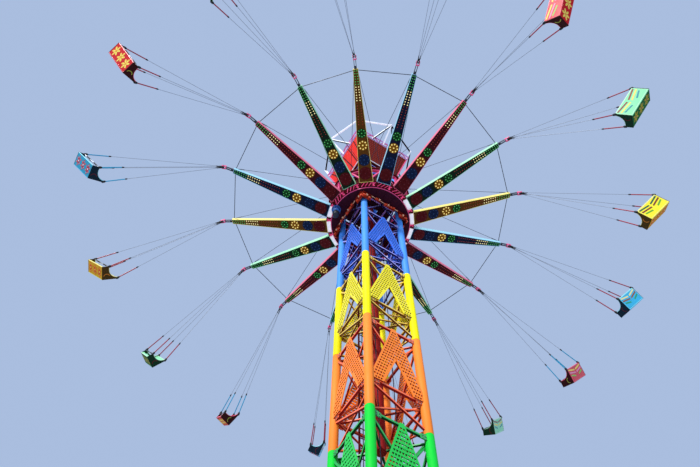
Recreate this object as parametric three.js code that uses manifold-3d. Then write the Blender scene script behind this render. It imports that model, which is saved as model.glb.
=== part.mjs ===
// Chair swing ride: lattice tower, lifting carriage, rotor with sixteen arms, sixteen two-seat chairs.
// Millimetres, +Z up, origin on the underside of the foundation slab at the tower's axis.
import * as THREE from "three";
import { mergeVertices } from "three/addons/utils/BufferGeometryUtils.js";
import Module from "manifold-3d";

const wasm = await Module();
wasm.setup();

// Tower
const JOINT_GAP = 0.3;
const SLAB = 5000;
const SLAB_TOP = 250;
const LEG_RADIUS = 105;
const LEG_AT = 700;
const BAND_TOPS = [2320, 5650, 8980, 12310, 15640, 18970, 22300, 27080];
const BAR = 60;
const SLOPING_BAR = 50;
const TOP_BAR_DROP = 120;
const STRIP_BAY = 2260;
const STRIP_THICKNESS = 12;
const STRIP_END = 220;
const STRIP_FOOT = 275;
const STRIP_THROAT = 1250;
const STRIP_FACE = LEG_AT + 75;
const FOOT_PLATE = 460;
const FOOT_THICKNESS = 30;

// Tower head
const HEAD_BOTTOM = 27080;
const HEAD_TOP = 28760;
const HEAD_HALF_BOTTOM = 825;
const HEAD_HALF_TOP = 1162;
const HEAD_WALL = 40;
const CROWN_RADIUS = 1862;
const CROWN_Z = 29670;
const CROWN_TUBE = 40;
const CROWN_STRUT = 32;
const CYLINDER_RADIUS = 130;
const CYLINDER_BOTTOM = 12070;

// Carriage
const DECK_Z = 23090;
const DECK_THICKNESS = 120;
const DECK_RADIUS = 1358;
const DECK_HOLE = 870;
const DRUM_OUTER = 1330;
const DRUM_INNER = 1240;
const DRUM_HEIGHT = 380;
const GUIDE_TOP = 24550;
const GUIDE_HEIGHT = 200;
const GUIDE_POST = 70;
const PAD_WIDTH = 90;
const BEARING_GAP = 0.5;
const MOTOR_RADIUS = 140;
const MOTOR_AT = 1300;
const MOTOR_ANGLE = -96;
const MOTOR_HEIGHT = 520;

// Rotor
const ARMS = 16;
const ARM_PHASE = -37.6;
const RING_INNER = 1352;
const RING_FLAT = 1500;
const RING_HEIGHT = 330;
const MAST_INNER = 1372;
const MAST_OUTER = 1470;
const MAST_TOP = 24800;
const COLLAR_HEIGHT = 200;
const FLANGE_HEIGHT = 80;
const MAST_POST = 60;
const ARM_ROOT_UNDERSIDE = 23220;
const ARM_END_RADIUS = 5040;
const ARM_END_UNDERSIDE = 24457;
const ARM_ROOT_WIDTH = 480;
const ARM_ROOT_DEPTH = 170;
const ARM_END_WIDTH = 170;
const ARM_END_DEPTH = 140;
const PIN_RADIUS_FROM_AXIS = 5430;
const PIN_Z = 24590;
const PIN_RADIUS = 15.4;
const FORK_GAP = 84;
const FORK_PLATE = 16;
const FORK_REACH = 60;
const HOOP_RADIUS = 4990;
const HOOP_TUBE = 12;
const STAY_RADIUS = 10;
const STAY_OFFSET = 58;
const LUG_HALF_WIDTH = 80;
const STAY_RING_Z = 24700;
const STAY_RING_HEIGHT = 60;
const STAY_RING_OUTER = 1530;

// Chairs, each with its own outward swing and its own trail behind the arm, in degrees
const CHAIR_SWINGS = [54.5, 58, 58.5, 58.5, 56.5, 54.5, 52.5, 50.5, 51.5, 55.5, 55, 54, 51.5, 50.5, 51.5, 58.5];
const CHAIR_TRAILS = [4.5, 5, 4.5, 5.5, 7, 8.5, 10, 5.5, 3.5, 4, 7, 7.5, 9, 11, 9, 9.5];
const HANG = 4280;
const CHAIR_WIDTH = 1310;
const CHAIR_BACK = 510;
const CHAIR_DEPTH = 440;
const CHAIR_WALL = 25;
const CHAIR_PAN = 40;
const ARMREST_DROP = 286;
const RECLINE = 20;
const OUTWARD_TILT = 6;
const TWIST = -3;
const ROD_LENGTH = 745;
const ROD_RADIUS = 15;
const CABLE_RADIUS = 7;
const LINK_LENGTH = 130;
const LINK_WIDTH = 70;
const LINK_BORE = 17;

const COLOURS = {
  yellow: "#f2e01c",
  cyan: "#1fb4d8",
  red: "#e0204a",
  green: "#16b45a",
  bandBlue: "#4f8fe0",
  bandYellow: "#f6ea16",
  bandOrange: "#f58a3c",
  bandGreen: "#12c83e",
  concrete: "#9c9a94",
  maroon: "#5a0f22",
  panelRed: "#c8321e",
  white: "#e8e8ea",
  pink: "#d8327a",
  blue: "#1f5fb0",
  steel: "#30343c",
};
const ARM_COLOURS = ["yellow", "cyan", "red", "green"];

const X = new THREE.Vector3(1, 0, 0);
const Y = new THREE.Vector3(0, 1, 0);
const Z = new THREE.Vector3(0, 0, 1);
const group = new THREE.Group();

function vec(x, y, z) {
  return new THREE.Vector3(x, y, z);
}

function radians(degrees) {
  return THREE.MathUtils.degToRad(degrees);
}

// A closed manifold solid from a three.js geometry.
function solid(geometry) {
  const bare = geometry.clone();
  bare.deleteAttribute("normal");
  bare.deleteAttribute("uv");
  const merged = mergeVertices(bare, 1e-4);
  return new wasm.Manifold(
    new wasm.Mesh({
      numProp: 3,
      vertProperties: new Float32Array(merged.attributes.position.array),
      triVerts: new Uint32Array(merged.index.array),
    }),
  );
}

function union(solids) {
  return solids.reduce((whole, next) => whole.add(next));
}

function box(low, high) {
  const size = high.clone().sub(low);
  const middle = low.clone().add(high).multiplyScalar(0.5);
  return solid(new THREE.BoxGeometry(size.x, size.y, size.z).translate(middle.x, middle.y, middle.z));
}

// A frame whose local Y runs from a to b and whose local Z is as near as can be to up.
function frameAlong(a, b, up) {
  const along = b.clone().sub(a).normalize();
  const side = along.clone().cross(up).normalize();
  const normal = side.clone().cross(along);
  const middle = a.clone().add(b).multiplyScalar(0.5);
  return new THREE.Matrix4().makeBasis(side, along, normal).setPosition(middle);
}

// A rectangular bar from a to b: width is measured across up, height along it.
function bar(a, b, width, height, up) {
  return solid(new THREE.BoxGeometry(width, a.distanceTo(b), height).applyMatrix4(frameAlong(a, b, up)));
}

function rod(a, b, radius, sides, up = Z) {
  const geometry = new THREE.CylinderGeometry(radius, radius, a.distanceTo(b), sides);
  return solid(geometry.applyMatrix4(frameAlong(a, b, up)));
}

function polygon(radius, sides, phase) {
  return Array.from({ length: sides }, (_, k) => {
    const angle = radians(phase + (k * 360) / sides);
    return new THREE.Vector2(radius * Math.cos(angle), radius * Math.sin(angle));
  });
}

// An upright plate with the given outline and an optional hole.
function plate(outline, hole, bottom, top) {
  const shape = new THREE.Shape(outline);
  if (hole) {
    shape.holes.push(new THREE.Path(hole));
  }
  return solid(new THREE.ExtrudeGeometry(shape, { depth: top - bottom, bevelEnabled: false }).translate(0, 0, bottom));
}

function square(half) {
  return [
    new THREE.Vector2(-half, -half),
    new THREE.Vector2(half, -half),
    new THREE.Vector2(half, half),
    new THREE.Vector2(-half, half),
  ];
}

// A loft between two rectangles of four corners each, lower corners first.
function loft(lower, upper) {
  const corners = [...lower, ...upper];
  const faces = [
    [0, 3, 2, 1],
    [4, 5, 6, 7],
    [0, 1, 5, 4],
    [1, 2, 6, 5],
    [2, 3, 7, 6],
    [3, 0, 4, 7],
  ];
  const geometry = new THREE.BufferGeometry();
  geometry.setAttribute(
    "position",
    new THREE.Float32BufferAttribute(
      corners.flatMap((p) => [p.x, p.y, p.z]),
      3,
    ),
  );
  geometry.setIndex(faces.flatMap(([a, b, c, d]) => [a, b, c, a, c, d]));
  return solid(geometry);
}

function turned(whole, angle) {
  return whole.rotate([0, 0, angle]);
}

function add(name, whole, colour, roughness = 0.45, metalness = 0.1) {
  const mesh = whole.getMesh();
  const geometry = new THREE.BufferGeometry();
  geometry.setAttribute("position", new THREE.BufferAttribute(new Float32Array(mesh.vertProperties), mesh.numProp));
  geometry.setIndex(new THREE.BufferAttribute(new Uint32Array(mesh.triVerts), 1));
  const flat = geometry.toNonIndexed();
  flat.computeVertexNormals();
  const material = new THREE.MeshStandardMaterial({ color: COLOURS[colour], roughness, metalness });
  const piece = new THREE.Mesh(flat, material);
  piece.name = name;
  group.add(piece);
}

// An inverted V of two plate strips on the face at +X, its apex on the top bar and its feet on the legs.
function chevron(high, middle) {
  const foot = LEG_AT - 50;
  const half = [
    [50, high],
    [foot, middle + STRIP_END],
    [foot, middle - 10],
    [foot - STRIP_FOOT, middle - 10],
  ];
  const mirrored = half.map(([y, z]) => [-y, z]).reverse();
  const outline = [...half, [0, high - STRIP_THROAT], ...mirrored].map(([y, z]) => new THREE.Vector2(y, z));
  const geometry = new THREE.ExtrudeGeometry(new THREE.Shape(outline), {
    depth: STRIP_THICKNESS,
    bevelEnabled: false,
  });
  geometry.applyMatrix4(new THREE.Matrix4().makeBasis(Y, Z, X));
  return solid(geometry.translate(STRIP_FACE - STRIP_THICKNESS, 0, 0));
}

// Tower: the bars of the face at +X; the other faces are the same, turned.
function faceBars(bottom, top, withStrips) {
  const high = top - TOP_BAR_DROP;
  const middle = withStrips ? high - STRIP_BAY : (bottom + high) / 2;
  const low = bottom - TOP_BAR_DROP;
  const inner = LEG_AT - 20;
  const at = (y, z) => vec(LEG_AT, y, z);
  const off = BAR + 30;
  const bars = [
    bar(at(-inner, high), at(inner, high), BAR, BAR, X),
    bar(at(-inner, middle), at(inner, middle), BAR, BAR, X),
    bar(at(-inner, high - off), at(inner, middle + off), SLOPING_BAR, SLOPING_BAR, X),
    bar(at(-inner, middle - off), at(inner, Math.max(low, bottom) + off), SLOPING_BAR, SLOPING_BAR, X),
  ];
  if (withStrips) {
    bars.push(chevron(high, middle));
    bars.push(box(vec(LEG_AT, -40, high - 20), vec(STRIP_FACE - 2, 40, high + 20)));
  }
  return union(bars);
}

function towerSection(bottom, top, withStrips) {
  const parts = [];
  for (const [sx, sy] of [[1, 1], [-1, 1], [-1, -1], [1, -1]]) {
    const foot = vec(sx * LEG_AT, sy * LEG_AT, bottom);
    parts.push(rod(foot, foot.clone().setZ(top), LEG_RADIUS, 16, Y));
  }
  const face = faceBars(bottom, top, withStrips);
  for (let k = 0; k < 4; k += 1) {
    parts.push(turned(face, 90 * k));
  }
  return union(parts);
}

add("foundation_slab", plate(square(SLAB / 2), null, 0, SLAB_TOP), "concrete", 0.9, 0);

function towerBase() {
  const bottom = SLAB_TOP + JOINT_GAP;
  const parts = [towerSection(bottom, BAND_TOPS[0], false)];
  for (const [sx, sy] of [[1, 1], [-1, 1], [-1, -1], [1, -1]]) {
    const low = vec(sx * LEG_AT - FOOT_PLATE / 2, sy * LEG_AT - FOOT_PLATE / 2, bottom);
    const high = vec(sx * LEG_AT + FOOT_PLATE / 2, sy * LEG_AT + FOOT_PLATE / 2, bottom + FOOT_THICKNESS);
    parts.push(box(low, high));
  }
  return union(parts);
}

add("tower_base", towerBase(), "bandOrange");
const BANDS = ["bandYellow", "bandBlue", "bandGreen", "bandOrange", "bandYellow", "bandBlue", "bandBlue"];
BANDS.forEach((colour, k) => {
  const bottom = BAND_TOPS[k] + JOINT_GAP;
  add(`tower_section_${k + 1}`, towerSection(bottom, BAND_TOPS[k + 1], true), colour);
});

// Tower head: a flared box, open below, with a low roof.
function squareAt(half, z) {
  return square(half).map((p) => vec(p.x, p.y, z));
}

function towerHead() {
  const bottom = HEAD_BOTTOM + JOINT_GAP;
  const outer = loft(squareAt(HEAD_HALF_BOTTOM, bottom), squareAt(HEAD_HALF_TOP, HEAD_TOP));
  const wall = HEAD_WALL;
  const hollow = loft(
    squareAt(HEAD_HALF_BOTTOM - wall, bottom + wall),
    squareAt(HEAD_HALF_TOP - wall, HEAD_TOP + 1),
  );
  return outer.subtract(hollow);
}

add("tower_head", towerHead(), "panelRed");

// White octagon on V struts from a rail round the head's top edge.
function crownFrame() {
  const half = CROWN_TUBE;
  const edge = HEAD_HALF_TOP - HEAD_WALL / 2;
  const seat = HEAD_TOP + JOINT_GAP;
  const rimZ = seat + half;
  const corners = polygon(CROWN_RADIUS, 8, 0).map((p) => vec(p.x, p.y, CROWN_Z));
  const ring = plate(
    polygon(CROWN_RADIUS + half, 8, 0),
    polygon(CROWN_RADIUS - half, 8, 0),
    CROWN_Z - half,
    CROWN_Z + half,
  );
  const rail = plate(square(edge + half), square(edge - half), seat, seat + half * 2);
  const parts = [ring, rail];
  for (let k = 0; k < 4; k += 1) {
    const ends = [-540, 0, 540].map((y) => vec(edge, y, rimZ));
    const struts = ends.map((end) => rod(end, corners[0], CROWN_STRUT, 4));
    struts.push(rod(vec(edge, edge, rimZ), corners[1], CROWN_STRUT, 4));
    parts.push(turned(union(struts), 90 * k));
  }
  return union(parts);
}

add("crown_frame", crownFrame(), "white", 0.35, 0.2);

function liftCylinder() {
  const tube = rod(vec(0, 0, CYLINDER_BOTTOM), vec(0, 0, HEAD_BOTTOM - 60), CYLINDER_RADIUS, 12, Y);
  const beamZ = HEAD_BOTTOM - 160;
  const reach = LEG_AT - BAR / 2 - JOINT_GAP;
  const across = box(vec(-reach, -90, beamZ - 90), vec(reach, 90, beamZ + 90));
  return tube.add(across);
}

add("lift_cylinder", liftCylinder(), "maroon");

// Carriage: deck round the tower, bearing drum, upper guide ring on posts, pads on the legs.
function guidePads(bottom, top) {
  const low = LEG_AT + LEG_RADIUS + BEARING_GAP;
  const parts = [];
  for (const side of [-1, 1]) {
    const middle = side * (LEG_AT - 20);
    const pad = box(vec(low, middle - PAD_WIDTH / 2, bottom), vec(1120, middle + PAD_WIDTH / 2, top));
    parts.push(pad);
  }
  const face = union(parts);
  return union([0, 90, 180, 270].map((angle) => turned(face, angle)));
}

function carriage() {
  const deckTop = DECK_Z + DECK_THICKNESS;
  const drumTop = deckTop + DRUM_HEIGHT;
  const outer = polygon(DRUM_OUTER, 16, 0);
  const inner = polygon(DRUM_INNER, 16, 0);
  const parts = [
    plate(polygon(DECK_RADIUS, 32, 0), square(DECK_HOLE), DECK_Z, deckTop),
    plate(outer, inner, deckTop - 10, drumTop),
    plate(outer, inner, GUIDE_TOP - GUIDE_HEIGHT, GUIDE_TOP),
    guidePads(deckTop + 30, drumTop - 20),
    guidePads(GUIDE_TOP - GUIDE_HEIGHT + 10, GUIDE_TOP - 10),
  ];
  const at = (DRUM_OUTER + DRUM_INNER) / 2 - 10;
  for (let k = 0; k < 8; k += 1) {
    const low = vec(at - GUIDE_POST / 2, -GUIDE_POST / 2, drumTop - 20);
    const high = vec(at + GUIDE_POST / 2, GUIDE_POST / 2, GUIDE_TOP - GUIDE_HEIGHT + 20);
    parts.push(turned(box(low, high), 45 * k + 22.5));
  }
  return union(parts);
}

add("carriage", carriage(), "maroon", 0.5, 0.1);

function driveMotor() {
  const top = DECK_Z - JOINT_GAP;
  const body = plate(polygon(MOTOR_RADIUS, 12, 0), null, top - MOTOR_HEIGHT, top - 40);
  const flange = plate(polygon(MOTOR_RADIUS + 20, 12, 0), null, top - 60, top);
  return turned(body.add(flange).translate([MOTOR_AT, 0, 0]), MOTOR_ANGLE);
}

add("drive_motor", driveMotor(), "blue", 0.4, 0.3);

// Rotor
const STEP = 360 / ARMS;
const HALF_STEP = STEP / 2;
const ringBottom = DECK_Z + DECK_THICKNESS + BEARING_GAP;
const ringTop = ringBottom + RING_HEIGHT;

function rotorRing() {
  const corner = RING_FLAT / Math.cos(radians(HALF_STEP));
  return plate(polygon(corner, ARMS, HALF_STEP), polygon(RING_INNER, 32, 0), ringBottom, ringTop);
}

add("rotor_ring", turned(rotorRing(), ARM_PHASE), "white", 0.4, 0.2);

function rotorMast() {
  const bottom = ringTop + JOINT_GAP;
  const collar = MAST_TOP - COLLAR_HEIGHT;
  const outer = polygon(MAST_OUTER, ARMS, 0);
  const inner = polygon(MAST_INNER, ARMS, 0);
  const parts = [
    plate(outer, inner, bottom, bottom + FLANGE_HEIGHT),
    plate(outer, inner, collar, MAST_TOP),
  ];
  const at = (MAST_OUTER + MAST_INNER) / 2;
  const post = (k, z, y = 0) => vec(at, y, z).applyAxisAngle(Z, radians(k * STEP));
  for (let k = 0; k < ARMS; k += 2) {
    const foot = post(k, bottom + FLANGE_HEIGHT - 20);
    parts.push(bar(foot, post(k, collar + 20), MAST_POST, MAST_POST, foot.clone().setZ(0)));
    for (const side of [-1, 1]) {
      const start = post(k, foot.z, side * 70);
      const high = post(k + side, collar + 20, -side * 40);
      parts.push(bar(start, high, SLOPING_BAR, SLOPING_BAR, start.clone().add(high).setZ(0)));
    }
  }
  return union(parts);
}

add("rotor_mast", turned(rotorMast(), ARM_PHASE), "pink");

function armTop(radius) {
  const run = (radius - RING_FLAT) / (ARM_END_RADIUS - RING_FLAT);
  const underside = ARM_ROOT_UNDERSIDE + run * (ARM_END_UNDERSIDE - ARM_ROOT_UNDERSIDE);
  return underside + ARM_ROOT_DEPTH + run * (ARM_END_DEPTH - ARM_ROOT_DEPTH);
}

// Hoop over the arms' ends, ring on the mast's collar, two stays to each arm, as one welded net.
function rigging() {
  const lugHalf = 24;
  const lugBottom = armTop(HOOP_RADIUS + lugHalf) + JOINT_GAP;
  const hoopZ = lugBottom + HOOP_TUBE + 4;
  const inner = polygon(MAST_OUTER + JOINT_GAP * 1.5, ARMS, 0);
  const ringLow = STAY_RING_Z - STAY_RING_HEIGHT / 2;
  const ring = plate(polygon(STAY_RING_OUTER, ARMS, 0), inner, ringLow, ringLow + STAY_RING_HEIGHT);
  const onHoop = (k, y) => vec(HOOP_RADIUS, y, hoopZ).applyAxisAngle(Z, radians(k * STEP));
  const onRing = (k, y) => vec(STAY_RING_OUTER - 32, y, STAY_RING_Z).applyAxisAngle(Z, radians(k * STEP));
  const parts = [ring];
  for (let k = 0; k < ARMS; k += 1) {
    const low = vec(HOOP_RADIUS - lugHalf, -LUG_HALF_WIDTH, lugBottom);
    const high = vec(HOOP_RADIUS + lugHalf, LUG_HALF_WIDTH, hoopZ + 22);
    parts.push(turned(box(low, high), k * STEP));
    parts.push(rod(onHoop(k, 2), onHoop(k + 1, -2), HOOP_TUBE, 4));
    parts.push(rod(onHoop(k, -STAY_OFFSET), onRing(k - 1, 42), STAY_RADIUS, 4));
    parts.push(rod(onHoop(k, STAY_OFFSET), onRing(k + 1, -42), STAY_RADIUS, 4));
  }
  return union(parts);
}

add("rigging", turned(rigging(), ARM_PHASE), "steel", 0.4, 0.7);

// One arm along +X: tapered box beam, neck and the fork that holds the chair's pin.
function yz(x, halfWidth, low, high) {
  return [vec(x, -halfWidth, low), vec(x, halfWidth, low), vec(x, halfWidth, high), vec(x, -halfWidth, high)];
}

function arm(trail) {
  const root = RING_FLAT + JOINT_GAP;
  const beam = loft(
    yz(root, ARM_ROOT_WIDTH / 2, ARM_ROOT_UNDERSIDE, ARM_ROOT_UNDERSIDE + ARM_ROOT_DEPTH),
    yz(ARM_END_RADIUS, ARM_END_WIDTH / 2, ARM_END_UNDERSIDE, ARM_END_UNDERSIDE + ARM_END_DEPTH),
  );
  const inside = FORK_GAP / 2;
  const outside = inside + FORK_PLATE;
  const bridge = -FORK_REACH - 15;
  const fork = union([
    box(vec(bridge - 35, -outside, -50), vec(bridge, outside, 50)),
    box(vec(bridge - 5, inside, -50), vec(FORK_REACH, outside, 50)),
    box(vec(bridge - 5, -outside, -50), vec(FORK_REACH, -inside, 50)),
    rod(vec(0, -outside + 1, 0), vec(0, outside - 1, 0), PIN_RADIUS, 8),
  ]);
  const neckStart = vec(ARM_END_RADIUS - 20, 0, ARM_END_UNDERSIDE + ARM_END_DEPTH / 2);
  const neckEnd = vec(PIN_RADIUS_FROM_AXIS + bridge - 20, 0, PIN_Z);
  const neck = bar(neckStart, neckEnd, 90, 80, Z);
  const placed = fork.rotate([0, 0, -trail]).translate([PIN_RADIUS_FROM_AXIS, 0, PIN_Z]);
  return union([beam, neck, placed]);
}

// One chair, hanging from its pin at the origin, facing +Y, its width along X.
function chairShell() {
  const half = CHAIR_DEPTH / 2;
  const profile = [
    [-half, -CHAIR_BACK],
    [half, -CHAIR_BACK],
    [half, -ARMREST_DROP],
    [60, -ARMREST_DROP + 6],
    [-60, -235],
    [-130, -130],
    [-165, 0],
    [-half, 0],
  ].map(([y, z]) => new THREE.Vector2(y, z));
  const geometry = new THREE.ExtrudeGeometry(new THREE.Shape(profile), { depth: CHAIR_WIDTH, bevelEnabled: false });
  geometry.applyMatrix4(new THREE.Matrix4().makeBasis(Y, Z, X));
  geometry.translate(-CHAIR_WIDTH / 2, 0, 0);
  const inside = CHAIR_WIDTH / 2 - CHAIR_WALL;
  const hollow = box(vec(-inside, -half + CHAIR_WALL, -CHAIR_BACK + CHAIR_PAN), vec(inside, half + 50, 50));
  const lapBar = rod(vec(-inside - 10, half - 25, -310), vec(inside + 10, half - 25, -310), 14, 4);
  return solid(geometry).subtract(hollow).add(lapBar);
}

// A rod that goes over into a thin cable.
function suspension(corner, top) {
  const whole = corner.distanceTo(top);
  const outline = [
    [0, 0],
    [ROD_RADIUS, 0],
    [ROD_RADIUS, ROD_LENGTH],
    [CABLE_RADIUS, ROD_LENGTH],
    [CABLE_RADIUS, whole],
    [0, whole],
  ].map(([x, y]) => new THREE.Vector2(x, y));
  const geometry = new THREE.LatheGeometry(outline, 3).translate(0, -whole / 2, 0);
  return solid(geometry.applyMatrix4(frameAlong(corner, top, Z)));
}

function chair() {
  const lean = new THREE.Euler(radians(RECLINE), radians(OUTWARD_TILT), radians(TWIST), "ZYX");
  const hung = new THREE.Matrix4().makeRotationFromEuler(lean).setPosition(0, 0, -HANG);
  const shell = chairShell().rotate([RECLINE, OUTWARD_TILT, TWIST]).translate([0, 0, -HANG]);
  const link = box(
    vec(-LINK_WIDTH / 2, -LINK_WIDTH / 2, -LINK_LENGTH),
    vec(LINK_WIDTH / 2, LINK_WIDTH / 2, LINK_WIDTH / 2),
  );
  const bore = rod(vec(0, -LINK_WIDTH, 0), vec(0, LINK_WIDTH, 0), LINK_BORE, 8);
  const parts = [shell, link.subtract(bore)];
  const side = CHAIR_WIDTH / 2 - 12;
  const half = CHAIR_DEPTH / 2 - 15;
  for (const [x, y, z] of [[-side, -half, -20], [side, -half, -20], [-side, half, -300], [side, half, -300]]) {
    const corner = vec(x, y, z).applyMatrix4(hung);
    const top = vec(Math.sign(x) * 22, Math.sign(y) * 22, -LINK_LENGTH + 15);
    parts.push(suspension(corner, top));
  }
  return union(parts);
}

const oneChair = chair();
for (let k = 0; k < ARMS; k += 1) {
  const number = String(k + 1).padStart(2, "0");
  const angle = ARM_PHASE + (k - 4) * STEP;
  const colour = ARM_COLOURS[k % ARM_COLOURS.length];
  const flung = oneChair
    .rotate([0, -CHAIR_SWINGS[k], 0])
    .rotate([0, 0, -CHAIR_TRAILS[k]])
    .translate([PIN_RADIUS_FROM_AXIS, 0, PIN_Z]);
  add(`arm_${number}`, turned(arm(CHAIR_TRAILS[k]), angle), colour);
  add(`chair_${number}`, turned(flung, angle), colour);
}

export default group;
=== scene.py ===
"""Chair swing ride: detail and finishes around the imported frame.

Metres, +Z up, the tower's axis at the origin.
"""

import math

import bmesh
import bpy
from mathutils import Matrix, Vector


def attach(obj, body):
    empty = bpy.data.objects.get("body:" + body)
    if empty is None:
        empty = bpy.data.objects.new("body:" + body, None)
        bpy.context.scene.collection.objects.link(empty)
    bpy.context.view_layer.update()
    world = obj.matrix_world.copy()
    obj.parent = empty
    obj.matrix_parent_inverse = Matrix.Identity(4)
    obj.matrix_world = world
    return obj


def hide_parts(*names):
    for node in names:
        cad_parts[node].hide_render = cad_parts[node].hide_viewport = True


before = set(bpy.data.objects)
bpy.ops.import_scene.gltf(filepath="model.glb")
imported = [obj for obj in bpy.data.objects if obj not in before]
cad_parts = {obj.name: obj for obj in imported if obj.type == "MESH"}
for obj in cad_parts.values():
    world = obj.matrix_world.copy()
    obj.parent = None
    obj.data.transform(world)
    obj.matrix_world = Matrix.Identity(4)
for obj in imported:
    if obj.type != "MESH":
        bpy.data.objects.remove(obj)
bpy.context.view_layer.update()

# Space left between bolted pieces
SEAM = 0.0003

# Tower
LEG_RADIUS = 0.105
LEG_AT = 0.70
LEG_CHAMFER = 0.006
SLAB_TOP = 0.25
BAND_TOPS = [2.32, 5.65, 8.98, 12.31, 15.64, 18.97, 22.30, 27.08]
BAND_PAINTS = ["orange", "yellow", "blue", "green", "orange", "yellow", "blue", "blue"]
BAR = 0.06
BAR_END = LEG_AT - 0.02
TOP_BAR_DROP = 0.12
SLOPING_BAR = 0.05
SLOPE_START = BAR + 0.03
SECOND_BAR = 0.04
SECOND_BAR_AT = LEG_AT - 0.09
CROSS_BAR = (0.05, 0.04)
CROSS_BAR_END = LEG_AT - 0.05
GUSSET = [(-0.08, -0.10), (0.08, -0.10), (0.08, 0.04), (-0.08, 0.10)]
GUSSET_AT = LEG_AT - LEG_RADIUS - 0.06
GUSSET_FACE = LEG_AT + 0.026
GUSSET_THICKNESS = 0.01
GUSSET_BOLTS = ((0.03, -0.07), (-0.04, -0.07), (0.03, 0.0), (-0.04, 0.0))
GUSSET_BOLT_FACE = LEG_AT + 0.04
FOOT_PLATE = 0.46
FOOT_THICKNESS = 0.03
FOOT_RIB = [(0, 0), (0.11, 0), (0.11, 0.03), (0, 0.18)]
FOOT_RIB_THICKNESS = 0.012
FOOT_BOLT_AT = 0.19
FOOT_BOLT_HEIGHT = 0.045
TOWER_BOLT = (0.014, 0.018)

# Perforated strips of the tower's faces, each an inverted V
STRIP_BAY = 2.26
STRIP_HEIGHT = STRIP_BAY + 0.01
STRIP_FACE = LEG_AT + 0.075
STRIP_THICKNESS = 0.022
STRIP_BACK = STRIP_FACE - STRIP_THICKNESS
STRIP_REACH = LEG_AT - 0.05
STRIP_FOOT = 0.275
STRIP_END = 0.22
STRIP_THROAT = 1.25
STRIP_PEAK = 0.05
STRIP_TAB = 0.04
STRIP_ROWS = 20
SLOT_PITCH = 0.066
SLOT_SHARE = 0.74
SLOT_HEIGHT = 0.66
STRIP_BORDER = 0.007
SMALLEST_CELL = 0.004
TOUCH = 1e-6

# Ladder, hoist ropes, lift cylinder and service floor
LADDER_AT = -0.50
LADDER_HALF = 0.19
LADDER_BOTTOM = 0.45
LADDER_TOP = 26.9
LADDER_RAIL = (0.045, 0.02)
LADDER_HOLDER = 0.03
RUNGS = 88
RUNG_PITCH = 0.3
FIRST_RUNG = 0.6
ROPE_AT = (0.3, 0.22)
ROPE_RADIUS = 0.011
ROPE_TOP = 27.0
CYLINDER_RADIUS = 0.13
CYLINDER_BARREL = CYLINDER_RADIUS - 0.012
CYLINDER_BOTTOM = 12.07
CYLINDER_JOINT = 2.44
LIFT_BEAM_DROP = 0.16
LIFT_BEAM_HALF = 0.08
LIFT_WEB_AT = 0.06
SHEAVE_AT = (0.3, 0.075)
SHEAVE = [(0.12, 0), (0.1, 0.008), (0.1, 0.022), (0.12, 0.03)]
FLOOR_Z = 24.08
FLOOR_HALF = 0.66
FLOOR_HOLE = 0.20
FLOOR_THICKNESS = 0.03

# Head of the tower
HEAD_BOTTOM = 27.08
HEAD_FOOT = HEAD_BOTTOM + SEAM
HEAD_TOP = 28.76
HEAD_HALF_BOTTOM = 0.825
HEAD_HALF_TOP = 1.162
PANEL_INSET = 0.012
PANEL_THICKNESS = 0.02
PANEL_SEAMS = (-0.86, -0.46, -0.1, 0.26, 0.62)
PANEL_SEAM_LEAN = 0.36
GRILLE_ROWS = 12
GRILLE_COLUMNS = 10
HEAD_TUBE = 0.024
HEAD_LATTICE_TUBE = 0.016
HEAD_RAIL_HEIGHT = 0.24
HEAD_RAIL_BAYS = 7
CROWN_RADIUS = 1.862
CROWN_Z = 29.67
CROWN_FOOT = HEAD_TOP + 0.0403
CROWN_TUBE = 0.036
CROWN_RAIL_TUBE = 0.034
STRUT_AT = 0.54
CROWN_KNOT = [(0.02, 0), (0.045, 0.02), (0.052, 0.044), (0.045, 0.068), (0.02, 0.084)]
STRUT = (0.045, 0.085)

# Carriage
DECK_Z = 23.09
DECK_TOP = 23.21
DECK_RADIUS = 1.358
DECK_HOLE = 0.87
DECK_SIDES = 64
DECK_RIBS = 24
RIB_END = 1.33
CAGE_HALF = 0.905
CAGE_SHEET_TOP = DECK_TOP + 0.62
CAGE_RIBS = 7
CAGE_TUBE = 0.026
CAGE_LATTICE_TUBE = 0.02
DRUM_OUTER = 1.33
DRUM_INNER = 1.24
DRUM_TOP = 23.59
DRUM_SIDES = 48
GUIDE_BOTTOM = 24.35
GUIDE_TOP = 24.55
COVER_BOTTOM = GUIDE_TOP - 0.07
COVER_TOP = GUIDE_TOP - 0.055
BRACKET_INNER = 0.86
BRACKET_OUTER = 1.12
PAD_HALF = 0.045
PAD_FACE = LEG_AT + LEG_RADIUS + 0.0006
ROLLER_PITCH = 0.11
ROLLER_AT = 0.052
ROLLER_BLOCKS_AT = (-0.72, -0.30, 0.16, 0.72)
ROLLER = [(0.026, 0), (0.036, 0.008), (0.036, 0.052), (0.026, 0.06)]
MOTOR_AT = 1.30
MOTOR_ANGLE = -96
MOTOR_SIDES = 28
MOTOR_BARREL = [(0.07, -0.52), (0.105, -0.505), (0.11, -0.41), (0.09, -0.40), (0.09, -0.26)]
MOTOR_GEAR = [(0.08, -0.29), (0.115, -0.27), (0.14, -0.21), (0.14, -0.12), (0.115, -0.05)]
MOTOR_FLANGE = [(0.16, -0.05), (0.16, 0.0)]
MOTOR_FINS = 24

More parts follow.
